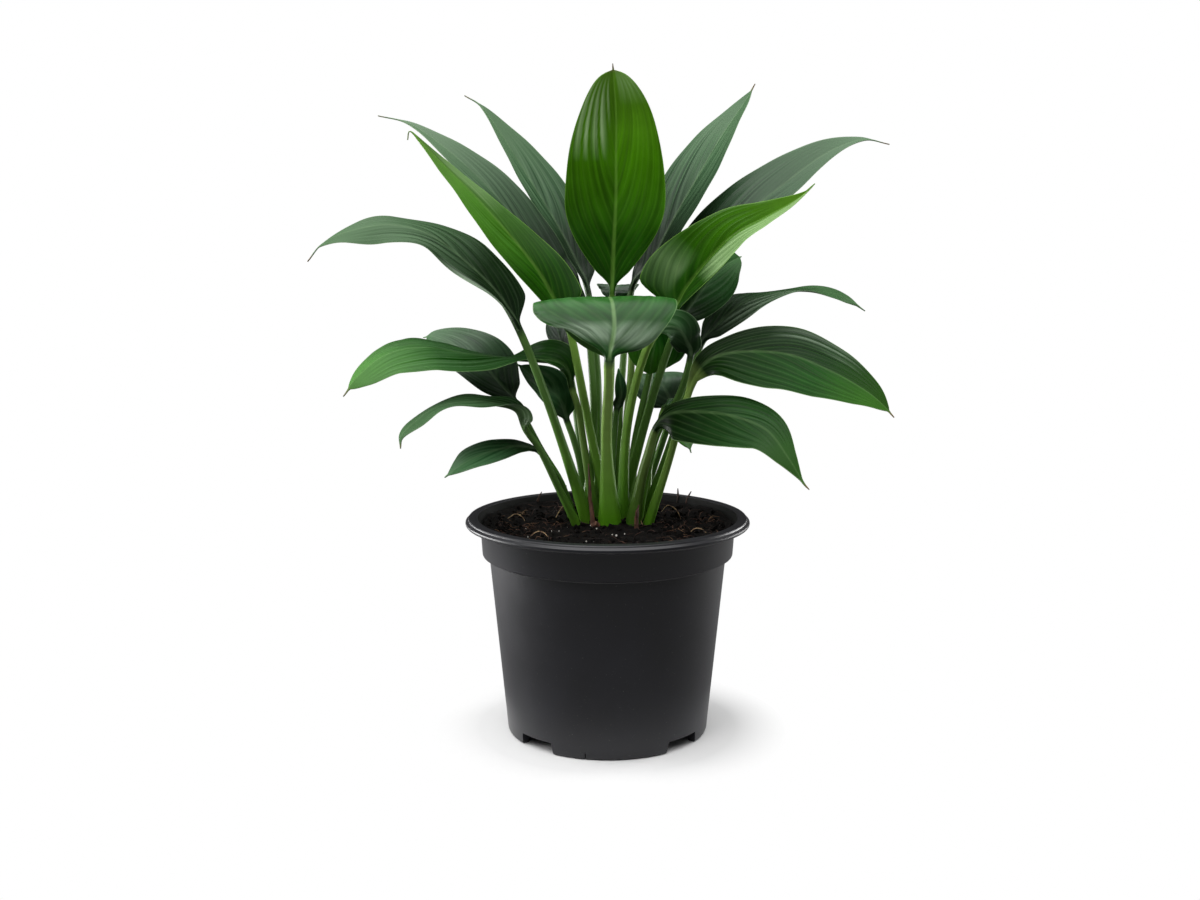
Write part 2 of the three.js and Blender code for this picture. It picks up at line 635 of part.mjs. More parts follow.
function soilGeometry() {
  const side = potInside.map(([r, z]) => [r - CLEARANCE, z + (z === floorTop ? CLEARANCE : 0)]);
  const edge = side.at(-1)[0] - 0.2;
  const profile = [[0, floorTop + CLEARANCE], ...side.slice(0, 3)];
  for (let ring = SOIL_RINGS; ring >= 0; ring--) {
    profile.push([edge * ring / SOIL_RINGS, SOIL_EDGE_Z]);
  }
  const geometry = turned(profile, SOIL_SIDES);
  const position = geometry.attributes.position;
  for (let i = 0; i < position.count; i++) {
    if (position.getZ(i) === SOIL_EDGE_Z) {
      position.setZ(i, soilHeight(position.getX(i), position.getY(i)));
    }
  }
  let soil = toSolid(geometry);
  for (const leaf of [...LEAVES, ...DRY_SHEATHS]) {
    soil = soil.subtract(toSolid(stalkHole(leaf)));
  }
  return toGeometry(soil);
}

const plant = new THREE.Group();
plant.add(named("pot", potGeometry(), "plastic"));
plant.add(named("soil", soilGeometry(), "peat"));
for (const leaf of [...LEAVES, ...DRY_SHEATHS]) {
  plant.add(named(leaf.name, leafGeometry(leaf), leaf.finish ?? PLAIN_LEAF.finish));
}

export default plant;
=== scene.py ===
import functools
import math
import random

import bmesh
import bpy
import numpy as np
from mathutils import Euler, Matrix, Vector, noise


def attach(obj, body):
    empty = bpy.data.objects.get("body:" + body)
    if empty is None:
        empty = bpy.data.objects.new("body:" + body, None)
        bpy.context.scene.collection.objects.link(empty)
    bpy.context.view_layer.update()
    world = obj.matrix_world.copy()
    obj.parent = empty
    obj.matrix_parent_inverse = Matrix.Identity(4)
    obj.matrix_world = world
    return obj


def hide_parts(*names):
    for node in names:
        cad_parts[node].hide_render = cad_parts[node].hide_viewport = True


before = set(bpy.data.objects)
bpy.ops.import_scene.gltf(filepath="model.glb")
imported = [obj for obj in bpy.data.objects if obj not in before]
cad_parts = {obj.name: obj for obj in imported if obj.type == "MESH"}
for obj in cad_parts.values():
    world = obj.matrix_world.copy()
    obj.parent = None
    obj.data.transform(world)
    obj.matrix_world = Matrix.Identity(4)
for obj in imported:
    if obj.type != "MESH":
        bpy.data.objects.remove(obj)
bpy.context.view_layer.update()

# A potted cast iron plant. Lengths in the tables are millimetres, in the frame of the CAD model: the
# origin is the centre of the pot's foot, +Z is up, and the viewer is on the -Y side.
MM = 0.001

# Sizes of the pot and the soil, as in the CAD model

LIP_RADIUS = 120
RIM_RADIUS = 117.7
MOUTH_RADIUS = 109.3
COLLAR_TOP_RADIUS = 107.3
COLLAR_BOTTOM_RADIUS = 105.9
BODY_TOP_RADIUS = 100
FOOT_RADIUS = 85.5
RIM_Z = 184.5
LIP_Z = 180.2
COLLAR_TOP_Z = 175
COLLAR_BOTTOM_Z = 153.1
BODY_TOP_Z = 151
WALL = 2
FLOOR_Z = 10
FLOOR_CORNER = 3
FOOT_WIDTH = 7

SOIL_EDGE_Z = 174
CLEARANCE = 0.3  # between the soil and the pot

# Leaves

# Each row is a leaf's name, its finish, its stalk line from the soil up, its midrib from the blade's base to
# its tip, its greatest width, its heading in degrees from +X towards +Y, and its shape. u is the share of the
# blade's length from its base, and out the share of its half width from its midrib.
#   belly: the u where it is widest
#   full, point: how slowly it widens up to there, and how sharply it narrows past it
#   tail: the share of its length that is drawn out into a thread
#   roll, fold, curl: degrees, turned about the midrib, folded up along it, curled towards the margins
#   skew: how much wider the half with positive out is
#   wave, waves: height and number of the waves of its margins
#   foot, stalk, neck: the stalk's radius at the soil, above its flare, and at the blade
#   pleat, ruffle: height of its pleats in hundredths of the half width, and of its margin's small waves
#   tone_and_shade, stalk_tone_and_shade: lightness of blade and stalk, where 0.5 is the material's own; each
#       is
#     partly the leaf's own tone and partly painted light and shade
#   dry, rib, painted_sheen: share of dry colour on the thread, of pale colour on the midrib, and of a
#       grey-green
#     painted sheen
#   pale: the u up to which the blade keeps its stalk's colour
#   painted_highlight: pale patches of painted highlight, each on one half (0 for both), from u, to u, from
#     out, its strength, and the share of it that only the crests of the pleats have
# Roll, fold, curl and skew may be given at base, middle and tip, or at every quarter, and tone_and_shade for
# each half, where a darker half is painted shade on the half turned away from the light.
PLAIN_LEAF = dict(
    belly=0.42, full=0.6, point=0.85, tail=0.03, roll=0, fold=12, curl=0, skew=0, wave=0, waves=2,
    foot=5, stalk=3.6, neck=2.8, pleat=0.5, ruffle=0.2,
    tone_and_shade=0.5, stalk_tone_and_shade=0.5, dry=0, rib=0.15, painted_sheen=0, pale=0, painted_highlight=[],
)
LEAVES = [
    ("leaf_centre_tall", "bright", [[-1, 38, 176], [0, 40, 234], [3, 44, 304]], [[4, 50, 369],
     [5, 52, 407], [7, 54, 450], [7, 54, 486], [7, 52, 519], [5, 47, 548], [4, 44, 561]], 88, 80,
     dict(full=1.1, point=0.46, fold=8, pleat=0.45, tone_and_shade=[0.36, 0.43], dry=1, rib=0.28,
     painted_highlight=[[-1, 0.58, 0.97, 0.15, 1, 1], [1, 0.82, 1.03, 0.1, 0.6, 0.5]])),
    ("leaf_upper_left_back", "dark", [[-20, 16, 176], [-13, 28, 236], [-13, 36, 296]], [[-22, 42, 367],
     [-47, 46, 397], [-74, 50, 427], [-106, 54, 463], [-140, 58, 493], [-170, 62, 513], [-197, 64, 520]],
     50, 135, dict(full=0.8, point=1.2, tail=0.05, roll=5, dry=0.6, painted_sheen=1, painted_highlight=[[-1, 0.3, 0.6, 0.3,
     0.35, 0.5]])),
    ("leaf_upper_left_bright", "bright", [[2, 14, 176], [-15, 12, 256], [-29, 14, 328]], [[-34, 15, 344],
     [-43, 16, 362], [-59, 18, 390], [-83, 20, 420], [-111, 20, 451], [-134, 18, 474], [-152, 14, 493],
     [-162, 10, 503], [-164, 8, 496]], 48, 165, dict(belly=0.44, full=0.34, point=1.05, tail=0.04,
     roll=[70, 26, 20], skew=[0.75, -0.32, -0.2], foot=5.6, stalk=4.3, neck=3.2, pleat=0.35,
     tone_and_shade=[0.44, 0.32], dry=0.5, rib=0.2, painted_sheen=0.3, painted_highlight=[[1, 0.5, 0.9, 0.2, 0.4, 0.3]])),
    ("leaf_back_left_tall", "dark", [[-11, 25, 176], [-8, 44, 229], [-9, 58, 302]], [[-17, 68, 369],
     [-28, 78, 396], [-47, 92, 431], [-70, 104, 468], [-91, 112, 501], [-112, 117, 531], [-128, 117, 542]],
     62, 125, dict(full=0.8, point=1.1, tail=0.05, roll=-14, fold=16, skew=0.13, tone_and_shade=0.65, dry=0.7,
     rib=0.2, painted_sheen=0.9)),
    ("leaf_back_right_tall", "dark", [[9, 33, 176], [9, 44, 234], [13, 58, 302]], [[21, 68, 372],
     [38, 74, 396], [57, 84, 431], [78, 94, 467], [100, 104, 504], [122, 114, 536], [131, 117, 552]], 76,
     60, dict(belly=0.46, full=0.8, roll=22, skew=-0.05, dry=1, rib=0.25, painted_sheen=0.6)),
    ("leaf_far_right_high", "dark", [[21, 30, 176], [23, 38, 234], [37, 46, 303]], [[49, 54, 364],
     [77, 60, 400], [115, 66, 433], [153, 70, 463], [189, 72, 489], [219, 70, 500], [242, 66, 496]], 53,
     35, dict(full=0.8, point=1, tail=0.05, roll=-26, fold=6, skew=-0.25, dry=1, painted_sheen=0.5)),
    ("leaf_upper_right_bright", "bright", [[13, 9, 176], [16, 6, 257], [32, 3, 324]], [[53, 2, 353],
     [64, 2, 374], [82, 0, 398], [103, -2, 419], [126, -6, 432], [146, -10, 443], [159, -12, 452],
     [167, -14, 460]], 58, 20, dict(belly=0.26, full=0.34, point=1.1, roll=-36, fold=26,
     skew=[-0.8, -0.02, -0.1], foot=6.2, stalk=4.3, neck=3.2, pleat=0.2, tone_and_shade=[0.36, 0.3], stalk_tone_and_shade=0.62,
     rib=0.22, painted_highlight=[[1, 0.24, 1.2, 0.08, 0.72, 0.4], [-1, 0.08, 0.34, 0.2, 0.3, 0.2]])),
    ("leaf_front_arching", "middle", [[2, -5, 176], [-1, -28, 253], [1, -56, 301]], [[1, -78, 323],
     [5, -73, 346], [4, -58, 364], [1, -40, 370], [-1, -24, 361], [-3, -16, 338], [-1, -14, 316]], 115, 92,
     dict(belly=0.43, full=0.85, roll=1, fold=4, curl=-16, skew=-0.09, foot=11.8, stalk=5.2, neck=3.8,
     pleat=0.25, tone_and_shade=0.62, stalk_tone_and_shade=0.85, rib=0.45, painted_sheen=0.2, painted_highlight=[[0, 0.08, 0.25, 0, 0.75, 0.4]])),
    ("leaf_left_long", "dull", [[-16, 1, 176], [-35, -14, 240], [-52, -30, 294]], [[-71, -38, 344],
     [-88, -40, 373], [-113, -40, 398], [-141, -38, 419], [-173, -38, 427], [-206, -34, 422],
     [-229, -30, 412], [-242, -26, 398]], 58, 190, dict(belly=0.3, full=0.42, point=0.95, tail=0.06,
     roll=[30, 32, 32], fold=[18, -5, -14], skew=[0.4, 0.1, -0.42], wave=3.5, waves=2.5, foot=7, stalk=4.3,
     neck=3.2, pleat=0.8, tone_and_shade=0.34, stalk_tone_and_shade=0.6, dry=1, painted_sheen=0.75, painted_highlight=[[-1, 0, 0.4, 0.7, 0.8,
     0.3]])),
    ("leaf_left_low_wavy", "dull", [[-25, -7, 176], [-40, -18, 210], [-55, -30, 245]], [[-66, -36, 262],
     [-73, -42, 280], [-92, -50, 286], [-116, -60, 288], [-135, -70, 285], [-150, -78, 275],
     [-160, -86, 265], [-161, -88, 255]], 42, 200, dict(belly=0.25, full=0.5, roll=[15, 4, 34],
     fold=[30, 0, -6], wave=2.5, pleat=0.8, dry=0.6, painted_sheen=0.5, pale=0.06)),
    ("leaf_left_broad", "deep", [[-9, 12, 176], [-17, 12, 221], [-25, 19, 272]], [[-31, 24, 291],
     [-34, 25, 304], [-41, 23, 312], [-56, 15, 315], [-83, 0, 318], [-115, -28, 324], [-145, -52, 331],
     [-172, -70, 327], [-192, -84, 312], [-204, -90, 296]], 68, 195, dict(belly=0.58, full=0.62,
     point=0.66, roll=[75, -5, 17, 24, 35], fold=[22, -12, -18], skew=[0.3, 0.28, -0.2], pleat=0.8,
     tone_and_shade=0.42, stalk_tone_and_shade=0.3, dry=0.7, rib=0.1, painted_sheen=0.45)),
    ("leaf_right_inner_small", "dull", [[25, 8, 176], [40, 12, 247], [60, 6, 286]], [[69, 2, 319],
     [66, -2, 331], [59, -8, 342], [49, -14, 345], [39, -19, 341]], 31, 180, dict(belly=0.45, full=0.5,
     point=0.65, tail=0.04, roll=74, fold=-12, skew=0.15, rib=0.2, painted_sheen=0.4)),
    ("leaf_right_upright", "dull", [[11, 21, 176], [28, 16, 247], [42, 13, 297]], [[58, 19, 342],
     [70, 27, 360], [84, 33, 378], [99, 37, 393], [114, 41, 401]], 52, 40, dict(belly=0.56, full=0.7,
     point=0.55, tail=0.02, roll=-40, stalk=4.3, neck=3.2)),
    ("leaf_right_broad", "deep", [[34, -2, 176], [49, -8, 225], [62, -12, 274]], [[66, -14, 287],
     [72, -17, 306], [86, -22, 320], [109, -32, 326], [144, -48, 325], [176, -64, 313], [201, -78, 299],
     [214, -86, 288], [221, -90, 280]], 73, -10, dict(belly=0.5, full=1.4, point=0.75, roll=[-75, -41, -40,
     -40, -40], fold=-8, skew=-0.02, pleat=0.8, tone_and_shade=[0.13, 0.24], stalk_tone_and_shade=0.6, dry=1, rib=0.1,
     pale=0.14, painted_highlight=[[-1, 0.4, 0.8, 0.5, 0.2, 1]])),
    ("leaf_right_low", "deep", [[21, -4, 176], [28, -12, 217], [34, -18, 241]], [[40, -24, 262],
     [51, -35, 276], [79, -50, 279], [103, -68, 277], [124, -86, 269], [138, -100, 251], [149, -108, 233],
     [154, -110, 227]], 51, -20, dict(belly=0.44, full=0.42, point=1.15, roll=-48, fold=-14,
     skew=[0.35, 0.05, 0.06], foot=7.6, stalk=5.2, neck=3.4, pleat=0.8, tone_and_shade=0.17, stalk_tone_and_shade=0.34, dry=1,
     rib=0.1, painted_sheen=0.12)),
    ("leaf_right_wavy", "dull", [[31, 17, 176], [52, 20, 237], [70, 26, 293]], [[80, 42, 325],
     [94, 46, 342], [121, 52, 363], [157, 64, 371], [193, 78, 369], [213, 86, 363], [230, 92, 352]], 48,
     15, dict(belly=0.33, full=0.7, point=0.8, tail=0.05, roll=[-35, -8, -40], fold=[4, 0, -4], wave=4,
     waves=1.5, pleat=0.8, rib=0.1, painted_sheen=0.3, painted_highlight=[[1, 0.1, 0.7, 0.1, 0.5, 1]])),
    ("leaf_left_behind", "dark", [[-30, 17, 176], [-40, 22, 208], [-58, 30, 237]], [[-80, 36, 277],
     [-96, 42, 295], [-113, 52, 312], [-134, 64, 323], [-154, 74, 330], [-164, 80, 329]], 62, 170,
     dict(full=0.7, point=0.65, tail=0.04, roll=35, fold=8, foot=4, stalk=3, painted_sheen=0.5)),
    ("leaf_left_inner", "dark", [[-21, 27, 176], [-23, 28, 219], [-29, 26, 245]], [[-35, 26, 262],
     [-40, 26, 278], [-50, 28, 291], [-63, 30, 300], [-78, 32, 310]], 37, 160, dict(belly=0.45, full=0.7,
     point=0.8, tail=0.04, roll=35, foot=4.4, stalk=3, tone_and_shade=1.3, painted_sheen=1)),
    ("leaf_left_lowest", "dark", [[-27, 6, 176], [-35, -4, 205], [-45, -16, 226]], [[-57, -24, 243],
     [-71, -34, 249], [-87, -44, 248], [-103, -52, 244], [-116, -60, 238], [-130, -64, 228]], 30, 195,
     dict(belly=0.6, full=0.9, roll=30, fold=-6, skew=0.15, foot=3.8, stalk=2.4, neck=2, tone_and_shade=0.75,
     painted_sheen=0.3)),
    ("leaf_new_rolled", "dark", [[2, 26, 176], [4, 26, 219], [6, 26, 254]], [[8, 25, 273], [11, 24, 283],
     [11, 24, 293], [10, 24, 300], [9, 24, 307]], 11, 90, dict(belly=0.5, full=0.7, point=0.8, fold=20,
     foot=4.4, stalk=3)),
    ("leaf_centre_drooping", "middle", [[22, 41, 176], [16, 48, 240], [20, 40, 300]], [[22, 32, 349],
     [29, 26, 358], [37, 22, 350], [40, 20, 333], [37, 18, 315], [35, 18, 301]], 60, -60, dict(belly=0.62,
     full=0.7, point=0.6, roll=-6, fold=4, foot=4.4, tone_and_shade=0.34)),
    ("leaf_back_low", "dark", [[27, 51, 176], [40, 58, 213], [52, 60, 249]], [[58, 62, 266], [54, 66, 278],
     [47, 74, 290], [40, 88, 295], [34, 104, 294]], 62, 110, dict(belly=0.45, point=0.6, fold=4, foot=4.4,
     tone_and_shade=0.75, painted_sheen=0.9)),
    ("leaf_left_inner_upper", "dark", [[-13, 36, 176], [-21, 44, 216], [-29, 52, 277]], [[-37, 58, 318],
     [-42, 58, 330], [-45, 57, 342], [-45, 54, 351], [-43, 48, 359]], 44, 160, dict(belly=0.5, point=0.7,
     roll=10, fold=6, foot=4.4)),
    ("leaf_right_under_small", "middle", [[34, 32, 176], [37, 38, 226], [45, 40, 256]], [[49, 42, 271],
     [55, 44, 272], [63, 44, 260], [69, 44, 244], [73, 44, 231]], 32, -40, dict(belly=0.5, point=0.7,
     tail=0.08, roll=-10, fold=2, foot=4.2, stalk=3, tone_and_shade=1.2, painted_sheen=1)),
    ("leaf_back_hidden", "dark", [[5, 49, 176], [0, 60, 240], [2, 68, 301]], [[4, 74, 361], [7, 82, 371],
     [9, 92, 375], [9, 106, 369], [8, 114, 355]], 38, 92, dict(belly=0.5, point=0.7, tail=0.05, fold=2,
     foot=4.4, stalk=3, tone_and_shade=1, painted_sheen=1)),
]
DRY_SHEATHS = [
    ("dry_sheath_left", "dry", [[-12, -14, 178], [-13, -13, 190]], [[-14, -10, 197], [-15, -9, 212],
     [-16, -8, 230]], 6, 180, dict(belly=0.3, point=1, tail=0.1, fold=20, foot=3.6, stalk=2.6, neck=1.8)),
    ("dry_sheath_right", "dry", [[24, -19, 177], [24, -19, 183]], [[24, -19, 187], [25, -19, 192],
     [26, -19, 197]], 7, 0, dict(belly=0.4, point=1, tail=0.1, fold=20, foot=3, stalk=2.4, neck=1.8)),
]

# How a leaf's mesh is drawn

ROOT_DEPTH = 9
LINE_STEPS = 100  # from each point of a smooth line to the next
THINNEST = 0.3
THREAD_RADIUS = 0.9
BLADE_HALF_THICKNESS = 0.42
MARGIN_HALF_THICKNESS = 0.02
# Veins leave the midrib, or fan out of the blade's base, which counts as a negative start. They start 16
# mm apart and then run side by side, so they are 1 to 4 mm apart across the blade
VEIN_FAN = -0.6
VEIN_SWEEP = 0.3
VEIN_SPACING = 16


def along(value, u):
    """A value given at base, middle and tip, or at every quarter, read at share u of the blade."""
    if isinstance(value, (int, float)):
        return np.full_like(u, float(value))
    if len(value) == 3:
        base, middle, tip = value
        return base * (1 - u) * (1 - 2 * u) + middle * 4 * u * (1 - u) + tip * u * (2 * u - 1)
    at = u * (len(value) - 1)
    k = np.minimum(at.astype(int), len(value) - 2)
    share = at - k
    given = np.array(value, float)
    return given[k] + (given[k + 1] - given[k]) * share * share * (3 - 2 * share)


def half_width(leaf, width, u):
    """Half the blade's width at share u of its length, before it is skewed."""
    share = np.minimum(u / (1 - leaf["tail"]), 1)
    rising = np.sin(np.pi / 2 * np.minimum(share / leaf["belly"], 1)) ** leaf["full"]
    past = np.maximum(0, (share - leaf["belly"]) / (1 - leaf["belly"]))
    falling = np.maximum(0, np.cos(np.pi / 2 * past)) ** leaf["point"]
    thread = THREAD_RADIUS * np.sqrt(np.maximum(0, 1 - u) / leaf["tail"])
    shape = width / 2 * np.where(share < leaf["belly"], rising, falling)
    return np.maximum(np.maximum(shape, thread), THINNEST)


def vein_starts(u, out):
    """Where on the midrib the vein through each point starts, and how crowded the veins are there."""
    # a vein sweeps out of the midrib, then runs beside the margin
    starts = np.linspace(1, VEIN_FAN, 200)
    rows = []
    for share in u:
        passed = starts[starts <= share + 1e-6]
        reached = (1 - passed) * (1 - np.exp((passed - share) / VEIN_SWEEP))
        rows.append(np.interp(out, reached, passed))
    start = np.array(rows)
    bend = np.exp((start - u[:, None]) / VEIN_SWEEP)
    return start, 1 / np.maximum(1 - bend + (1 - start) * bend / VEIN_SWEEP, 1e-4)


def smooth_line(points):
    """A smooth curve through the points, as short steps from each point to the next."""
    p = np.array(points, float)
    p = np.vstack([2 * p[0] - p[1], p, 2 * p[-1] - p[-2]])
    t = np.arange(LINE_STEPS)[:, None] / LINE_STEPS
    spans = [
        0.5 * (2 * b + (c - a) * t + (2 * a - 5 * b + 4 * c - d) * t ** 2 + (3 * b - a - 3 * c + d) * t ** 3)
        for a, b, c, d in zip(p, p[1:], p[2:], p[3:])
    ]
    return np.vstack(spans + [p[-2:-1]])


def way_along(line):
    """How far along the line each of its points is."""
    return np.r_[0, np.cumsum(np.linalg.norm(np.diff(line, axis=0), axis=1))]


def evenly(line, count):
    """The given number of points, evenly spaced along the line."""
    way = way_along(line)
    wanted = np.linspace(0, way[-1], count)
    return np.stack([np.interp(wanted, way, line[:, k]) for k in range(3)], axis=1)


def frames_on(points, heading, roll):
    """The directions to the side and up at each point of a line, for a heading and a roll in degrees."""
    forward = np.gradient(points, axis=0)
    forward /= np.linalg.norm(forward, axis=1)[:, None]
    turn = math.radians(heading)
    level = np.array([math.sin(turn), -math.cos(turn), 0.0])
    level = level - (forward @ level)[:, None] * forward
    level /= np.linalg.norm(level, axis=1)[:, None]
    lifted = np.cross(level, forward)
    angle = np.radians(roll)[:, None]
    side = level * np.cos(angle) + lifted * np.sin(angle)
    return side, np.cross(side, forward)


def tube(around, rings):
    """A closed tube of unit size along Z, to be bent into a leaf, a root or a twig."""
    bm = bmesh.new()
    bmesh.ops.create_cone(bm, cap_ends=True, segments=around, radius1=1, radius2=1, depth=1)
    upright = [e for e in bm.edges if abs(e.verts[0].co.z - e.verts[1].co.z) > 0.5]
    bmesh.ops.subdivide_edges(bm, edges=upright, cuts=rings - 2)
    return bm


def places_on(bm, around, rings):
    """Which ring, and which place on it, each of the tube's points is at."""
    co = np.array([v.co for v in bm.verts])
    ring = np.rint((co[:, 2] + 0.5) * (rings - 1)).astype(int)
    place = np.rint(np.arctan2(co[:, 1], co[:, 0]) / (2 * np.pi) * around).astype(int) % around
    return ring, place


def bend_to(bm, points):
    """Puts the tube's points at these places, given in millimetres."""
    for vertex, co in zip(bm.verts, points * MM):
        vertex.co = co


def join_into(whole, bm):
    part = bpy.data.meshes.new("part")
    bm.to_mesh(part)
    bm.free()
    whole.from_mesh(part)
    bpy.data.meshes.remove(part)


def in_scene(name, data):
    made = bpy.data.objects.new(name, data)
    bpy.context.scene.collection.objects.link(made)
    return made


def mesh_in_scene(name, bm, material=None):
    mesh = bpy.data.meshes.new(name)
    bm.to_mesh(mesh)
    bm.free()
    if material:
        mesh.materials.append(material)
    return in_scene(name, mesh)


def piece(name, bm, material, replaced=None, sharp_from=180):
    """A finished piece. Edges that turn by more than sharp_from degrees stay sharp."""
    bmesh.ops.recalc_face_normals(bm, faces=bm.faces)
    made = mesh_in_scene(name, bm, material)
    made.data.shade_smooth()
    made.data.set_sharp_from_angle(angle=math.radians(sharp_from))
    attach(made, "root")
    if replaced:
        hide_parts(replaced)
    return made


def round_section(centres, radius, side, up, turn):
    """Points round each centre, as on a stalk: round, with a shallow channel above and fine ridges."""
    depth, angle, ridges, ridge_height = 0.16, 0.5, 9, 0.012
    channel = 1 - depth * np.exp(-((turn - np.pi / 2) / angle) ** 2)
    section = (channel * (1 + ridge_height * np.sin(ridges * turn)))[None, :, None]
    return centres[:, None] + radius * section * (
        side[:, None] * np.cos(turn)[None, :, None] + up[:, None] * np.sin(turn)[None, :, None])


def pleats_on(start, crowding, half, sign, seed):
    """How far the blade rises or sinks between its veins: broad pleats, and finer ones in the room."""
    phase = 2 * np.pi * (start + 0.04 * sign) + 0.15 * seed
    room = half[:, None] / crowding / 1.2
    few, many = 7, 11.3
    broad = np.sin(few * phase) * np.clip(room / few - 1.5, 0, 1)
    return broad + 0.6 * np.sin(many * phase + seed) * np.clip(room / many - 1.5, 0, 1)


def painted_highlight_on(leaf, u, out, sign, pleat):
    """How strong the painted highlight is in the leaf's pale patches."""
    fade = 0.12
    painted_highlight = np.zeros_like(pleat)
    for one_side, start_u, end_u, from_out, strength, on_crests in leaf["painted_highlight"]:
        patch = np.clip((u - start_u) / fade, 0, 1) * np.clip((end_u - u) / fade, 0, 1)
        patch = patch[:, None] * np.clip((out - from_out) / fade, 0, 1) * (sign * one_side >= 0)
        patch = patch * (1 - on_crests + on_crests * np.clip(0.4 + 0.6 * pleat, 0, 1)) * strength
        painted_highlight = np.maximum(painted_highlight, patch)
    return painted_highlight


def leaf_piece(name, finish, stalk_line, midrib, width, heading, shape):
    leaf = {**PLAIN_LEAF, **shape}
    x, y, z = stalk_line[0]
    line = smooth_line([[x, y, z - ROOT_DEPTH]] + stalk_line + midrib)
    base = LINE_STEPS * (len(stalk_line) + 1)
    stalk_length, blade_length = way_along(line[: base + 1])[-1], way_along(line[base:])[-1]
    # a ring each 6 mm on the stalk and each 1.7 mm on the blade, with 1.5 points for each mm of the width
    stalk_rings = int(np.clip(stalk_length / 6, 8, 30))
    blade_rings = int(np.clip(blade_length / 1.7, 20, 125))
    rings = stalk_rings + blade_rings
    around = 4 * round(np.clip(width * 1.5, 20, 116) / 4) + 8
    stalk = evenly(line[: base + 1], stalk_rings + 1)
    blade = evenly(line[base:], blade_rings)
    seed = sum(map(ord, name)) % 17

    # Round the section: over the upper side from one margin to the other, then back along the underside
    turn = np.pi - 2 * np.pi * np.arange(around) / around
    step = np.arange(around) / (around / 2)
    upper = step <= 1
    across = np.where(upper, 2 * step - 1, 3 - 2 * step)
    out, sign = np.abs(across), np.sign(across)

    # Stalk, wider in the lower half. The blade's first ring is its last
    share = np.arange(stalk_rings) / stalk_rings
    side, up = frames_on(stalk, heading, along(leaf["roll"], np.zeros(stalk_rings + 1)))
    radius = leaf["stalk"] + (leaf["neck"] - leaf["stalk"]) * share
    radius = radius + (leaf["foot"] - leaf["stalk"]) * np.maximum(0, 1 - share / 0.5) ** 1.5
    stalk_at = round_section(stalk[:-1], radius[:, None, None], side[:-1], up[:-1], turn)

    # Blade: folded at its midrib, waved at its margins, and pleated between its veins
    u = np.linspace(0, 1, blade_rings)
    side, up = frames_on(blade, heading, along(leaf["roll"], u))
    half = half_width(leaf, width, u)
    uneven = 1 + along(leaf["skew"], u)[:, None] * sign
    reach = out * half[:, None] * uneven
    angle = np.radians(along(leaf["fold"], u)[:, None] + along(leaf["curl"], u)[:, None] * out / 2)
    # the waves of one margin lie between those of the other
    shift = np.where(across > 0, 0.37, 0.0)
    wave = np.sin(2 * np.pi * (leaf["waves"] * u[:, None] + shift)) * np.sin(np.pi * u)[:, None]
    surface = reach * np.sin(angle) + leaf["wave"] * out ** 1.5 * wave
    start, crowding = vein_starts(u, out)
    pleat = pleats_on(start, crowding, half, sign, seed)
    painted_highlight = painted_highlight_on(leaf, u, out, sign, pleat)
    # no relief at the blade's base and tip, and pleats less deep at its midrib and margins
    fade = np.minimum(1, u / 0.08)[:, None] * np.minimum(1, (1 - u) / 0.1)[:, None]
    pleat = pleat * fade * leaf["pleat"] * 0.01 * half[:, None]
    surface = surface + pleat * np.minimum(1, 4 * out) * np.minimum(1, 6 * (1 - out) + 0.1)
    swell = np.sin(7 * u[:, None] + seed) * np.sin(3 * across + 3 * u[:, None] + seed)
    surface = surface + 0.012 * half[:, None] * fade * out * swell
    ruffle_length = 38
    ruffle = np.sin(2 * np.pi * (blade_length / ruffle_length * u[:, None] + 0.3 * sign) + seed)
    surface = surface + leaf["ruffle"] * fade * out ** 6 * ruffle

    # Its thickness: thin at the margins, with a groove over the midrib and the rounded rib under it
    thick = BLADE_HALF_THICKNESS * np.sqrt(np.maximum(0, 1 - out ** 8)) + MARGIN_HALF_THICKNESS
    groove_depth, groove_reach = 0.45, 1.5
    groove = groove_depth * np.exp(-(reach / groove_reach) ** 2) * (1 - u)[:, None]
    rib_reach = 0.6 * leaf["neck"] + 1.2
    rib = leaf["neck"] * 1.1 * ((1 - u) ** 1.5)[:, None] * np.exp(-(reach / rib_reach) ** 2)
    lift = surface + np.where(upper, thick - groove, -thick - rib)
    sideways = sign * reach * np.cos(angle)
    as_blade = blade[:, None] + side[:, None] * sideways[..., None] + up[:, None] * lift[..., None]
    as_stalk = round_section(blade, leaf["neck"], side, up, turn)
    # the stalk becomes the blade over the first tenth of it
    blend = np.clip(u / 0.1, 0, 1)
    blend = (blend * blend * (3 - 2 * blend))[:, None, None]
    blade_at = as_stalk * (1 - blend) + as_blade * blend

    bm = tube(around, rings)
    ring, place = places_on(bm, around, rings)
    bend_to(bm, np.vstack([stalk_at, blade_at])[ring, place])
    made = piece(name + "_fine", bm, materials[finish], name, 60)

    # What the leaf's material reads at each point, first on the stalk and then on the blade
    spacing = VEIN_SPACING * half[:, None] / blade_length / crowding
    greening = np.clip((u - leaf["pale"]) / (1 - leaf["pale"]), -0.04, 1)
    # the tones carry painted light and shade: a darker half, and a lighter or darker stalk, show how light
    # falls
    tone_and_shade = np.where(sign < 0, *leaf["tone_and_shade"]) if isinstance(leaf["tone_and_shade"], list) else leaf["tone_and_shade"]
    tone_and_shade = leaf["stalk_tone_and_shade"] + (tone_and_shade - leaf["stalk_tone_and_shade"]) * np.minimum(1, u / 0.08)[:, None]
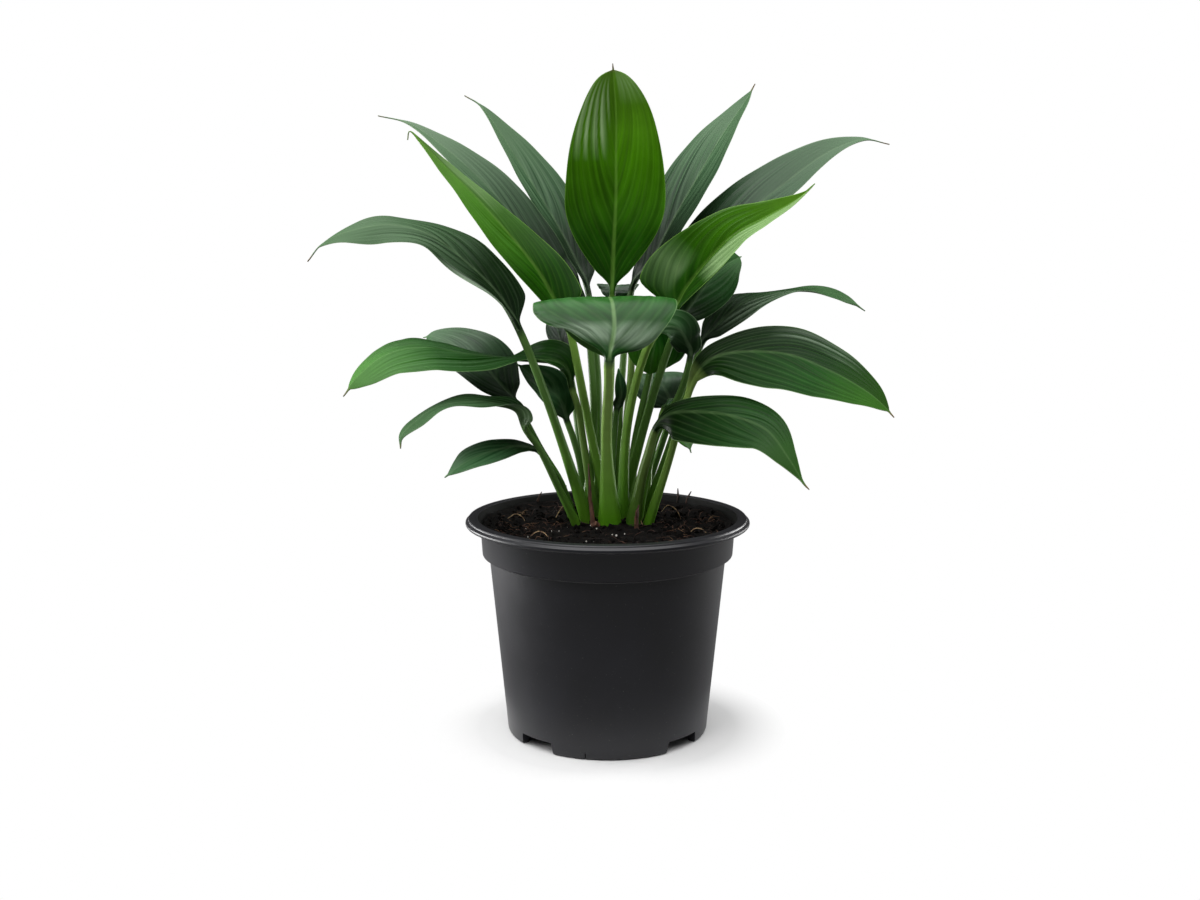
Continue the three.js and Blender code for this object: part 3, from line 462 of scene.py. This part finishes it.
    # veins closer than 1.2 mm aren't drawn, and those over 3.6 mm apart are drawn in full
    veins_shown = np.clip((spacing - 1.2) / 2.4, 0, 1)
    for key, on_stalk, on_blade in [
        ("along", (share - 1)[:, None], greening[:, None]),
        ("offset", radius[:, None] * (turn - np.pi / 2), sign * reach),
        ("edge", 9, half[:, None] * uneven - reach),
        ("vein", 0, start * blade_length / VEIN_SPACING),
        ("fine", 0, veins_shown),
        ("under", 0.3, ~upper),
        ("painted_highlight", 0, painted_highlight),
        # the painted sheen is strongest towards the tip
        ("painted_sheen", 0, leaf["painted_sheen"] * np.clip(2 * u - 0.5, 0, 1)[:, None]),
        ("tone_and_shade", leaf["stalk_tone_and_shade"], tone_and_shade),
        ("rib", leaf["rib"], leaf["rib"]),
        ("dry", leaf["dry"], leaf["dry"]),
    ]:
        grid = np.empty((rings, around))
        grid[:stalk_rings] = on_stalk
        grid[stalk_rings:] = on_blade
        layer = made.data.attributes.new(key, "FLOAT", "POINT")
        layer.data.foreach_set("value", grid[ring, place].astype(np.float32))


# Materials

# The finishes of a living leaf: the blade's colours from base to tip, darkest at the base partly with painted
# shade, the stalk's at its foot and top, the veins', the painted highlight's, the roughness and the shine
LEAF_FINISHES = {
    # a young blade, thinly waxed: a bright yellow-green with a soft shine
    "bright": ("young_leaf_waxed", ["#123c00", "#205400", "#468400", "#629820"],
        "#3c6a00", "#6c9038", "#84b44c", "#a8c890", 0.34, 0.2),
    # a grown blade: a full green with a soft shine
    "middle": ("grown_leaf_waxed", ["#10300c", "#143c0e", "#1f5a16", "#4a8a20"],
        "#3e7000", "#80a050", "#86a86e", "#c0d4bc", 0.3, 0.22),
    # a grown blade that spreads low: deep green, and too far from the light to shine
    "deep": ("grown_leaf_shaded", ["#143008", "#16400c", "#225e16", "#4a8a20"],
        "#3e6c00", "#7c9a4c", "#86a86e", "#c0d4bc", 0.32, 0.07),
    # an old blade, thickly waxed: blue-green, with the strongest shine
    "dark": ("old_leaf_waxed", ["#081c08", "#0a220a", "#1c4422", "#356036"],
        "#426c08", "#527636", "#7f9a72", "#90a890", 0.34, 0.3),
    # an old blade that the others shade: dark green and nearly matt
    "dull": ("old_leaf_shaded", ["#0c200a", "#10280c", "#224a20", "#3a6634"],
        "#426c08", "#527636", "#7f9a72", "#98ac94", 0.36, 0.1),
}


def linear(hex_value):
    """An sRGB hex colour as linear red, green, blue and alpha."""
    channels = [int(hex_value[i:i + 2], 16) / 255 for i in (1, 3, 5)]
    return tuple(c / 12.92 if c <= 0.04045 else ((c + 0.055) / 1.055) ** 2.4 for c in channels) + (1.0,)


def add(tree, kind, inputs=(), out=0, stops=(), **settings):
    """Adds one node with its settings, its values and links by socket, and its stops. Gives its output."""
    node = tree.nodes.new("ShaderNode" + kind)
    for key, value in settings.items():
        setattr(node, key, value)
    for socket, value in inputs.items() if isinstance(inputs, dict) else enumerate(inputs):
        if isinstance(value, bpy.types.NodeSocket):
            tree.links.new(value, node.inputs[socket])
        else:
            node.inputs[socket].default_value = value
    for i, (place, colour) in enumerate(stops):
        element = node.color_ramp.elements[i] if i < 2 else node.color_ramp.elements.new(place)
        element.position = place
        element.color = linear(colour)
    return node.outputs[out] if node.outputs else node


def new_material(name):
    """A material with no nodes yet, and the function that adds one to it."""
    material = bpy.data.materials.new(name)
    material.use_nodes = True
    material.node_tree.nodes.clear()
    return material, functools.partial(add, material.node_tree)


def leaf_material(name, blade_colours_shaded_at_base, stalk_foot, stalk_top, vein_colour, highlight_colour, roughness, shine):
    """A living leaf: a waxed skin over green flesh, with fine veins, and a paler midrib and margin."""
    material, node = new_material(name)
    along, offset, edge, vein, fine, under, painted_highlight, painted_sheen, tone_and_shade, rib, dry = [
        node("Attribute", out="Fac", attribute_name=key)
        for key in (
            "along", "offset", "edge", "vein", "fine", "under", "painted_highlight", "painted_sheen", "tone_and_shade", "rib", "dry")
    ]
    place = node("TexCoord", out="Object")
    # the ramp's left half is the stalk, from the soil up, and its right half is the blade
    ramp_at = node("MapRange", [along, -1.0, 1.0, 0.0, 1.0])
    stops = [(0.06, stalk_foot), (0.36, stalk_top), (0.48, stalk_top)]
    # the blade is darkest at its base, partly its own colour and partly painted shade from the leaves above
    stops += [(0.5 + 0.5 * at, tint) for at, tint in zip((0.0, 0.25, 0.6, 1.0), blade_colours_shaded_at_base)]
    body = node("ValToRGB", [ramp_at], stops=stops)
    # cloudy patches about 30 mm across, where the flesh is older or thicker
    cloud = node("TexNoise", {"Vector": place, "Scale": 32.0, "Detail": 3.0, "Roughness": 0.55})
    lightness = node("MapRange", [cloud, 0.3, 0.7, 0.84, 1.16])
    # streaks that follow the veins, 1 to 3 mm wide
    drift = node("Math", [offset, 0.03], operation="MULTIPLY")
    streak_at = node("CombineXYZ", [vein, drift])
    streak = node("TexNoise", {"Vector": streak_at, "Scale": 1.2, "Detail": 2.0, "Roughness": 0.6})
    streaky = node("MapRange", [streak, 0.36, 0.64, -0.26, 0.26])
    streaked = node("Math", [streaky, fine, 1.0], operation="MULTIPLY_ADD")
    # the tone lightens or darkens the flesh, partly as painted light and shade
    for factor in (streaked, tone_and_shade, 2.0):
        lightness = node("Math", [lightness, factor], operation="MULTIPLY")
    colour = node("HueSaturation", {"Value": lightness, "Color": body})
    # a grey-green painted sheen, and pale patches of painted highlight, both in the same streaks
    tints = []
    for amount, least, most, usual, tint in [
        (painted_sheen, -0.75, 0.6, 0.7, "#6a8666"), (painted_highlight, -0.35, 0.35, 0.75, highlight_colour),
    ]:
        sheen_streaks = node("MapRange", [streak, 0.36, 0.64, least, most])
        sheen_streaks = node("Math", [sheen_streaks, fine, usual], operation="MULTIPLY_ADD")
        tints.append((node("Math", [amount, sheen_streaks], operation="MULTIPLY"), tint))
    # each vein is a fine paler line that only just shows
    turn = node("Math", [node("Math", [vein, math.pi], operation="MULTIPLY")], operation="SINE")
    line = node("Math", [node("Math", [turn], operation="ABSOLUTE"), 12.0], operation="POWER")
    line = node("Math", [line, fine], operation="MULTIPLY")
    tints.append((node("Math", [line, 0.05], operation="MULTIPLY"), vein_colour))
    # the underside is duller and paler
    tints.append((node("Math", [under, 0.4], operation="MULTIPLY"), "#5f7f50"))
    # the midrib is a paler band, 4 mm wide at the blade's base and 1 mm at its tip
    rib_width = node("MapRange", [along, 0.0, 1.0, 2.0, 0.5])
    near = node("Math", [node("Math", [offset], operation="ABSOLUTE"), rib_width], operation="DIVIDE")
    ribbed = node("MapRange", [near, 1.4, 0.5, 0.0, 1.0])
    for factor in (node("MapRange", [along, -0.04, 0.03, 0.0, 1.0]), rib):
        ribbed = node("Math", [ribbed, factor], operation="MULTIPLY")
    tints.append((ribbed, vein_colour))
    # the margin is a pale line half a millimetre wide
    tints.append((node("MapRange", [edge, 0.8, 0.3, 0.0, 0.45]), vein_colour))
    # the thread at the tip is dry
    thread = node("MapRange", [along, 0.96, 0.985, 0.0, 1.0])
    tints.append((node("Math", [thread, dry], operation="MULTIPLY"), "#7b6a4a"))
    for share, tint in tints:
        colour = node("Mix", {0: share, 6: colour, 7: linear(tint)}, 2, data_type="RGBA")
    # relief up to half a millimetre high, in the streaks and on the veins
    height = node("Math", [line, 0.4, streak], operation="MULTIPLY_ADD")
    height = node("Math", [height, fine], operation="MULTIPLY")
    relief = node("Bump", {"Strength": 0.35, "Distance": 0.0005, "Height": height})
    gloss = node("MapRange", [cloud, 0.3, 0.7, roughness - 0.05, roughness + 0.07])
    gloss = node("Math", [under, 0.15, gloss], operation="MULTIPLY_ADD")
    skin = node("BsdfPrincipled", {
        "Base Color": colour, "Normal": relief, "Roughness": gloss, "Specular IOR Level": shine,
        "IOR": 1.42})
    node("OutputMaterial", {"Surface": skin})
    return material


def pot_material():
    """Black polypropylene, moulded: a satin sheen over a fine grain, with specks of dust 1 mm wide."""
    material, node = new_material("polypropylene_moulded_satin")
    place = node("TexCoord", out="Object")
    patch = node("TexNoise", {"Vector": place, "Scale": 18.0, "Detail": 4.0})
    dust = node("TexNoise", {"Vector": place, "Scale": 900.0, "Detail": 2.0})
    speck = node("MapRange", [dust, 0.71, 0.76, 0.0, 0.5])
    plastic = node("ValToRGB", [patch], stops=[(0.3, "#141418"), (0.7, "#1b1b21")])
    colour = node("Mix", {0: speck, 6: plastic, 7: linear("#6a6864")}, 2, data_type="RGBA")
    # the inside of the mouth is painted nearly black and matt: painted shade on the inner wall
    level = node("VectorMath", [place, (1, 1, 0)], operation="MULTIPLY")
    from_axis = node("VectorMath", [level], out="Value", operation="LENGTH")
    within = node("MapRange", [from_axis, (MOUTH_RADIUS + 0.6) * MM, (MOUTH_RADIUS + 0.1) * MM, 0.0, 1.0])
    height = node("SeparateXYZ", [place], "Z")
    above = node("MapRange", [height, (COLLAR_TOP_Z + 0.5) * MM, (COLLAR_TOP_Z + 2) * MM, 0.0, 1.0])
    painted_shade_inside = node("Math", [within, above], operation="MULTIPLY")
    colour = node("Mix", {0: painted_shade_inside, 6: colour, 7: linear("#050403")}, 2, data_type="RGBA")
    # the mould's grain, 0.4 mm wide
    grain = node("TexNoise", {"Vector": place, "Scale": 2600.0, "Detail": 1.0})
    relief = node("Bump", {"Strength": 0.12, "Distance": 0.0002, "Height": grain})
    gloss = node("MapRange", [patch, 0.3, 0.7, 0.36, 0.46])
    gloss = node("Math", [painted_shade_inside, 0.5, gloss], operation="MULTIPLY_ADD")
    skin = node("BsdfPrincipled", {"Base Color": colour, "Normal": relief, "Roughness": gloss})
    node("OutputMaterial", {"Surface": skin})
    return material


def matt_material(name, patches, stops, finish, relief=None, stretch=None):
    """A matt material in patches of a few shades."""
    material, node = new_material(name)
    place = node("TexCoord", out="Object")
    if stretch:
        place = node("Mapping", {"Vector": place, "Scale": stretch})
    shade = node("TexNoise", {"Vector": place, **patches})
    finish = {"Base Color": node("ValToRGB", [shade], stops=stops), **finish}
    if relief:
        finish["Normal"] = node("Bump", {**relief, "Height": shade})
    node("OutputMaterial", {"Surface": node("BsdfPrincipled", finish)})
    return material


materials = {key: leaf_material(*finish) for key, finish in LEAF_FINISHES.items()}
materials["plastic"] = pot_material()
# a dead leaf base: papery brown, with fibres 1.4 mm wide and 12 mm long
materials["dry"] = matt_material(
    "dead_sheath_papery", {"Scale": 700.0, "Detail": 4.0}, [(0.3, "#26140c"), (0.7, "#6a4430")],
    {"Roughness": 0.85}, {"Strength": 0.6, "Distance": 0.0004}, (1.0, 1.0, 0.12))
# peat: dark crumbs of rotted moss about 2 mm wide, with reddish ones among them
materials["peat"] = matt_material(
    "peat_crumbled", {"Scale": 420.0, "Detail": 6.0, "Roughness": 0.7},
    [(0.44, "#020101"), (0.6, "#0c0704"), (0.78, "#3e2416")],
    {"Roughness": 0.95, "Specular IOR Level": 0.15}, {"Strength": 0.9, "Distance": 0.0012})
# dead roots and twigs: dry, tan to reddish brown
materials["fibre"] = matt_material(
    "root_fibre_dry", {"Scale": 60.0, "Detail": 2.0},
    [(0.4, "#180c06"), (0.58, "#46281a"), (0.74, "#8c6c4e")], {"Roughness": 0.8})
# living roots: pale tan, darker where the skin is rubbed off
materials["root"] = matt_material(
    "root_skin_tan", {"Scale": 260.0, "Detail": 3.0}, [(0.35, "#5a3e26"), (0.6, "#b89a74")],
    {"Roughness": 0.7})
# perlite: puffed volcanic glass, white and chalky, with pores under a millimetre wide
materials["perlite"] = matt_material(
    "perlite_puffed", {"Scale": 1500.0, "Detail": 3.0}, [(0.35, "#b9b4aa"), (0.65, "#f2efe8")],
    {"Roughness": 0.9})


# Pot

def wall_at(z):
    """The radius of the pot's body, outside, at a height over its foot."""
    return FOOT_RADIUS + (BODY_TOP_RADIUS - FOOT_RADIUS) * z / BODY_TOP_Z


def spun(profile, steps):
    """Spins a profile of (radius, height) points, which starts and ends on the axis, round it."""
    bm = bmesh.new()
    chain = [bm.verts.new((r * MM, 0, z * MM)) for r, z in profile]
    edges = [bm.edges.new(pair) for pair in zip(chain, chain[1:])]
    bmesh.ops.spin(
        bm, geom=chain + edges, cent=(0, 0, 0), axis=(0, 0, 1), angle=2 * math.pi, steps=steps,
        use_merge=True)
    bmesh.ops.remove_doubles(bm, verts=bm.verts, dist=1e-6)
    return bm


def pot_profile():
    """From the middle of the floor up the inner wall, over the rim and the lip, and down to the foot."""
    floor = FLOOR_Z + WALL
    inner = wall_at(floor) - WALL
    rim, lip, mouth, foot = RIM_RADIUS, LIP_RADIUS, MOUTH_RADIUS, FOOT_RADIUS
    collar_top, collar_bottom = COLLAR_TOP_RADIUS, COLLAR_BOTTOM_RADIUS
    return [
        (0, floor), (inner - FLOOR_CORNER, floor), (inner - 0.8, floor + 0.8),
        (wall_at(floor + FLOOR_CORNER) - WALL, floor + FLOOR_CORNER),
        (BODY_TOP_RADIUS - WALL, BODY_TOP_Z), (collar_bottom - WALL, COLLAR_BOTTOM_Z + WALL),
        (collar_top - WALL, COLLAR_TOP_Z),
        (mouth, RIM_Z - 0.9), (mouth + 0.3, RIM_Z - 0.3), (mouth + 1, RIM_Z),
        (rim - 1.6, RIM_Z), (rim - 0.6, RIM_Z - 0.2), (rim - 0.1, RIM_Z - 0.8), (rim + 0.1, RIM_Z - 1.6),
        (rim + 0.7, RIM_Z - 2.2), (lip - 0.9, RIM_Z - 2.6), (lip - 0.2, RIM_Z - 3.3),
        (lip, LIP_Z), (lip - 0.2, LIP_Z - 0.9), (lip - 0.8, LIP_Z - 1.6), (lip - 4, LIP_Z - 3),
        (collar_top + 3, COLLAR_TOP_Z + 1.9), (collar_top + 0.8, COLLAR_TOP_Z + 1),
        (collar_top, COLLAR_TOP_Z - 0.6), (collar_bottom + 0.03, COLLAR_BOTTOM_Z + 0.8),
        (collar_bottom - 0.2, COLLAR_BOTTOM_Z + 0.1), (collar_bottom - 1, COLLAR_BOTTOM_Z - 0.4),
        (BODY_TOP_RADIUS + 0.8, BODY_TOP_Z + 0.3), (BODY_TOP_RADIUS, BODY_TOP_Z - 0.6),
        (wall_at(6), 6), (wall_at(2), 2), (foot - 0.4, 0.7), (foot - 1.3, 0),
        (foot - FOOT_WIDTH, 0), (foot - FOOT_WIDTH - 1.5, FLOOR_Z), (0, FLOOR_Z),
    ]


def foot_cut(turn, size, at, widened=1):
    """A block that cuts into the foot, wider at its bottom, placed and then turned round the pot's axis."""
    bm = bmesh.new()
    bmesh.ops.create_cube(bm, size=1)
    bmesh.ops.scale(bm, verts=bm.verts, vec=[s * MM for s in size])
    bottom = [v for v in bm.verts if v.co.z < 0]
    bmesh.ops.scale(bm, verts=bottom, vec=(widened, 1, 1))
    bmesh.ops.translate(bm, verts=bm.verts, vec=[s * MM for s in at])
    bmesh.ops.rotate(bm, verts=bm.verts, cent=(0, 0, 0), matrix=Matrix.Rotation(math.radians(turn), 3, "Z"))
    return bm


def pot_cuts():
    """Four gaps and a slit in the foot, and the drain holes, as one mesh. Turns are in degrees."""
    gap_turns, gap_half_angle, gap_slant, gap_depth = [46.7, 136.7, 226.7, 316.7], 11, 1.6, 30
    drains, drain_ring, drain_radius = 8, 58, 6
    slit_turn, slit_width, slit_height, slit_depth = 168, 0.8, 5.5, 3
    half = math.tan(math.radians(gap_half_angle)) * FOOT_RADIUS
    gap_size = (2 * half, gap_depth, FLOOR_Z + 1)
    whole = bmesh.new()
    for turn in gap_turns:
        cut = foot_cut(turn, gap_size, (0, 1 - FOOT_RADIUS, (FLOOR_Z - 1) / 2), (half + gap_slant) / half)
        join_into(whole, cut)
    for i in range(drains):
        turn = math.radians((i + 0.5) * 360 / drains)
        cut = bmesh.new()
        bmesh.ops.create_cone(
            cut, cap_ends=True, segments=32, radius1=drain_radius * MM, radius2=drain_radius * MM,
            depth=WALL * 3 * MM)
        at = (drain_ring * math.cos(turn) * MM, drain_ring * math.sin(turn) * MM, FLOOR_Z * MM)
        bmesh.ops.translate(cut, verts=cut.verts, vec=at)
        join_into(whole, cut)
    join_into(whole, foot_cut(slit_turn, (slit_width, 2 * slit_depth, 2 * slit_height), (0, FOOT_RADIUS, 0)))
    return whole


def pot_piece():
    sides, sharp_from = 176, 28
    made = piece(
        "pot_fine", spun(pot_profile(), sides), materials["plastic"], "pot", sharp_from)
    cuts = mesh_in_scene("pot_cuts", pot_cuts())
    cut = made.modifiers.new("cuts", "BOOLEAN")
    cut.operation = "DIFFERENCE"
    cut.solver = "EXACT"
    cut.object = cuts
    bpy.context.view_layer.update()
    made.data = bpy.data.meshes.new_from_object(made.evaluated_get(bpy.context.evaluated_depsgraph_get()))
    made.modifiers.clear()
    bpy.data.objects.remove(cuts)
    made.data.shade_smooth()
    made.data.set_sharp_from_angle(angle=math.radians(sharp_from))


# Soil

def soil_height(x, y):
    """The soil's surface: a low mound round the stalks, banked up against the wall, with lumps."""
    crown_y, crown_rise, crown_reach = 10, 6, 55
    bank_from, bank_width, bank_rise = 78, 26, 5.5
    crumb_width, crumb_height, settled = 2.6, 1.8, 0.8
    mound = crown_rise * math.exp(-(x * x + (y - crown_y) ** 2) / crown_reach ** 2)
    lumps = sum(
        noise.noise((x / width, y / width, layer)) * height
        for width, layer, height in [(16, 3.1, 2.2), (6, 7.7, 1.5)])
    crumbs = abs(noise.noise((x / crumb_width, y / crumb_width, 1.3))) * crumb_height
    bank = bank_rise * max(0, (math.hypot(x, y) - bank_from) / bank_width) ** 2
    return SOIL_EDGE_Z + mound + bank + lumps + crumbs - settled


def soil_piece():
    rings, sides, edge = 46, 150, COLLAR_TOP_RADIUS - WALL - 0.5
    floor = FLOOR_Z + WALL
    profile = [
        (0, floor + CLEARANCE), (wall_at(floor + FLOOR_CORNER) - WALL - 2, floor + CLEARANCE),
        (BODY_TOP_RADIUS - WALL - CLEARANCE, BODY_TOP_Z),
        (COLLAR_BOTTOM_RADIUS - WALL - CLEARANCE, COLLAR_BOTTOM_Z + WALL),
    ]
    profile += [(edge * ring / rings, SOIL_EDGE_Z) for ring in range(rings, -1, -1)]
    bm = spun(profile, sides)
    for vertex in bm.verts:
        if vertex.co.z > (SOIL_EDGE_Z - 0.1) * MM:
            vertex.co.z = soil_height(vertex.co.x / MM, vertex.co.y / MM) * MM
    piece("soil_fine", bm, materials["peat"], "soil")


# What lies on the soil

# Pale roots that come up out of the soil, dark twigs that stand at the back of the pot, scraps of dry
# sheath at the stalks' feet, and the white perlite grains that show most
PALE_ROOTS = [
    [[-90, 24, 174], [-84, 25, 178], [-79, 27, 180], [-73, 24, 177], [-71, 22, 173]],
    [[-48, 14, 174], [-45, 17, 178], [-42, 20, 183], [-38, 24, 188], [-36, 27, 184]],
    [[23, -3, 190], [25, -4, 186], [28, -6, 181], [30, -8, 176]],
    [[46, 8, 186], [51, 10, 191], [56, 12, 189], [60, 13, 185], [63, 14, 178]],
    [[-64, -38, 174], [-58, -36, 178], [-52, -40, 178], [-48, -44, 174]],
    [[66, -30, 173], [72, -24, 178], [79, -22, 177], [84, -24, 172]],
]
TWIGS = [
    [[-40, 90, 172], [-38, 93, 184], [-38, 95, 193]],
    [[-66, 80, 172], [-63, 84, 182], [-60, 88, 188]],
    [[62, 84, 172], [64, 88, 183], [64, 90, 191]],
    [[70, 78, 172], [72, 82, 182], [76, 86, 189]],
    [[84, 62, 172], [90, 66, 180], [97, 68, 182]],
]
SCRAPS_AT = [[-13, -18], [-10, -19], [-8, -16]]
PERLITE_AT = [[-47, -21], [-27, -17], [-9, -25], [-6, -5], [8, 8], [4, -40], [7, -44], [14, -36]]


def on_disc(draw, reach):
    radius = reach * math.sqrt(draw.random())
    turn = draw.uniform(0, 2 * math.pi)
    return radius * math.cos(turn), radius * math.sin(turn)


def crumb(bm, x, y, size, draw, sunk):
    """A crumb or grain that rests on the soil, sunk by a share of its size."""
    made = bmesh.ops.create_icosphere(bm, subdivisions=1, radius=size * MM)["verts"]
    seed = draw.random() * 50
    for vertex in made:
        vertex.co *= 1 + 0.45 * noise.noise(vertex.co / (size * MM) + Vector((seed, 0, 0)))
    stretch = (draw.uniform(0.8, 1.3), draw.uniform(0.8, 1.3), draw.uniform(0.55, 0.9))
    bmesh.ops.scale(bm, verts=made, vec=stretch)
    turned = Euler([draw.uniform(0, 3) for _ in range(3)]).to_matrix()
    bmesh.ops.rotate(bm, verts=made, cent=(0, 0, 0), matrix=turned)
    z = soil_height(x, y) + size * (1 - 2 * sunk) * 0.6
    bmesh.ops.translate(bm, verts=made, vec=(x * MM, y * MM, z * MM))


def crumbs_piece(name, draw, batches, material):
    """Crumbs or grains in batches: their places, least and greatest radius, and the share sunk."""
    bm = bmesh.new()
    for places, least, greatest, sunk in batches:
        for x, y in places:
            crumb(bm, x, y, draw.uniform(least, greatest), draw, sunk)
    piece(name, bm, materials[material], sharp_from=30)


def strand(bm, points, radius, sides=5):
    """A root, fibre or twig along the points, thinner at its ends."""
    rings = 3 * (len(points) - 1)
    line = evenly(smooth_line(points), rings)
    heading = math.degrees(math.atan2(line[-1][1] - line[0][1], line[-1][0] - line[0][0]))
    side, up = frames_on(line, heading, np.zeros(rings))
    fresh = tube(sides, rings)
    ring, place = places_on(fresh, sides, rings)
    turn = 2 * np.pi * place / sides
    thin = radius * (1 - 0.6 * np.abs(np.linspace(-1, 1, rings)) ** 2)[ring]
    round_it = side[ring] * np.cos(turn)[:, None] + up[ring] * np.sin(turn)[:, None]
    bend_to(fresh, line[ring] + thin[:, None] * round_it)
    join_into(bm, fresh)


def fibre_points(draw):
    """The points of a fibre on the soil, or none where it is left out."""
    x, y = on_disc(draw, 98)
    # in front of the stalks the peat is nearly bare
    if abs(x) < 42 and y < -10 and draw.random() < 0.75:
        return []
    turn = draw.uniform(0, 2 * math.pi)
    bend = draw.uniform(-0.7, 0.7)
    lift = draw.choice([0.4, 1, 2.8])
    points = []
    for k in range(draw.choice([3, 4, 5])):
        z = soil_height(x, y) + draw.uniform(0.1, 1) + (lift if k else -1.0)
        points.append([x, y, z])
        x += draw.uniform(2.5, 5) * math.cos(turn)
        y += draw.uniform(2.5, 5) * math.sin(turn)
        turn += bend + draw.uniform(-0.3, 0.3)
        if math.hypot(x, y) > 101:
            break
    return points


def soil_litter():
    draw = random.Random(11)
    small = (on_disc(draw, 101) for _ in range(420))
    large = (on_disc(draw, 97) for _ in range(70))
    crumbs_piece("peat_crumbs", draw, [(small, 0.7, 2.6, 0.3), (large, 2.6, 4.6, 0.45)], "peat")

    bm = bmesh.new()
    for _ in range(420):
        points = fibre_points(draw)
        if len(points) > 2:
            strand(bm, points, draw.uniform(0.14, 0.34))
    for points in TWIGS:
        strand(bm, points, 1.1)
    piece("root_fibres", bm, materials["fibre"], sharp_from=60)

    bm = bmesh.new()
    for points in PALE_ROOTS:
        strand(bm, points, 0.45, 8)
    piece("pale_roots", bm, materials["root"], sharp_from=60)

    strewn = (on_disc(draw, 98) for _ in range(30))
    crumbs_piece(
        "perlite_grains", draw, [(PERLITE_AT, 0.6, 0.9, 0), (strewn, 0.4, 0.9, 0.1)], "perlite")
    crumbs_piece("sheath_scraps", draw, [(SCRAPS_AT, 2, 3.2, 0.1)], "dry")


# Stage, light and camera, in metres

# each softbox: its power, where it is and what it faces, its width and its height
SOFTBOXES = {
    "left": (7, (-1.35, 0.15, 0.5), (0, 0, 0.25), 0.9, 0.9),
    "right": (3, (1.2, 0.55, 0.65), (0, 0, 0.25), 0.7, 0.9),
    "low_left": (8, (-0.9, 0.3, 0.15), (0, 0, 0.1), 0.8, 0.24),
    "low_right": (4.2, (0.8, 0.46, 0.2), (0, 0, 0.14), 0.4, 0.24),
    "front": (5, (-0.5, -0.95, 1.55), (0, 0, 0.35), 0.55, 0.45),
}


def light_the_room():
    """A wide overhead diffuser, a little to the left and to the front, in a dark room."""
    world = bpy.data.worlds.new("studio")
    bpy.context.scene.world = world
    world.use_nodes = True
    world.node_tree.nodes.clear()
    node = functools.partial(add, world.node_tree)
    seen = node("LightPath", out="Is Camera Ray")
    towards = node("TexCoord", out="Generated")
    facing = node("VectorMath", [towards, (-0.1, -0.14, 0.985)], out="Value", operation="DOT_PRODUCT")
    edge, middle, room_light, diffuser_light = 0.6, 0.92, 0.06, 3.4
    sky = node("MapRange", [facing, edge, middle, room_light, diffuser_light])
    strength = node("Mix", {0: seen, 2: sky, 3: 1.0})
    light = node("Background", {"Color": (1, 1, 1, 1), "Strength": strength})
    node("OutputWorld", {"Surface": light})


def lay_the_floor():
    """White paper on a light table: matt round the pot, where its shadow falls, and glowing further out."""
    material, node = new_material("studio_paper_white")
    paper = node("BsdfPrincipled", {"Base Color": linear("#d6d6d6"), "Roughness": 0.9})
    place = node("TexCoord", out="Object")
    distance = node("VectorMath", [place], out="Value", operation="LENGTH")
    share = node("MapRange", [distance, 0.11, 0.155, 0.0, 1.0])
    seen = node("LightPath", out="Is Camera Ray")
    cast, looked_at = 0.3, 1.0
    glow = node("Emission", {"Strength": node("MapRange", [seen, 0.0, 1.0, cast, looked_at])})
    blend = node("MixShader", [share, paper, glow])
    node("OutputMaterial", {"Surface": blend})
    bm = bmesh.new()
    bmesh.ops.create_circle(bm, cap_ends=True, segments=96, radius=0.8)
    bmesh.ops.translate(bm, verts=bm.verts, vec=(0, 0, -0.0004))
    floor = mesh_in_scene("floor", bm, material)


def set_up_camera():
    """A camera fitted to the ellipses of the pot in the photograph."""
    data = bpy.data.cameras.new("camera")
    data.sensor_width = 36
    data.lens = 41.25
    camera = in_scene("camera", data)
    camera.location = (0, -1.143, 0.419)
    tilt_down, turn_left = 0.155, 0.0056
    camera.rotation_euler = (math.pi / 2 - tilt_down, 0, turn_left)
    bpy.context.scene.camera = camera
    bpy.context.scene.view_settings.view_transform = "Standard"


light_the_room()
lay_the_floor()
for name, (power, place, target, width, height) in SOFTBOXES.items():
    data = bpy.data.lights.new(name, "AREA")
    data.shape, data.energy, data.size, data.size_y = "RECTANGLE", power, width, height
    light = in_scene(name, data)
    light.location = place
    light.rotation_euler = (Vector(target) - Vector(place)).to_track_quat("-Z", "Y").to_euler()
    light.visible_camera = False
set_up_camera()
pot_piece()
soil_piece()
soil_litter()
for leaf in LEAVES + DRY_SHEATHS:
    leaf_piece(*leaf)
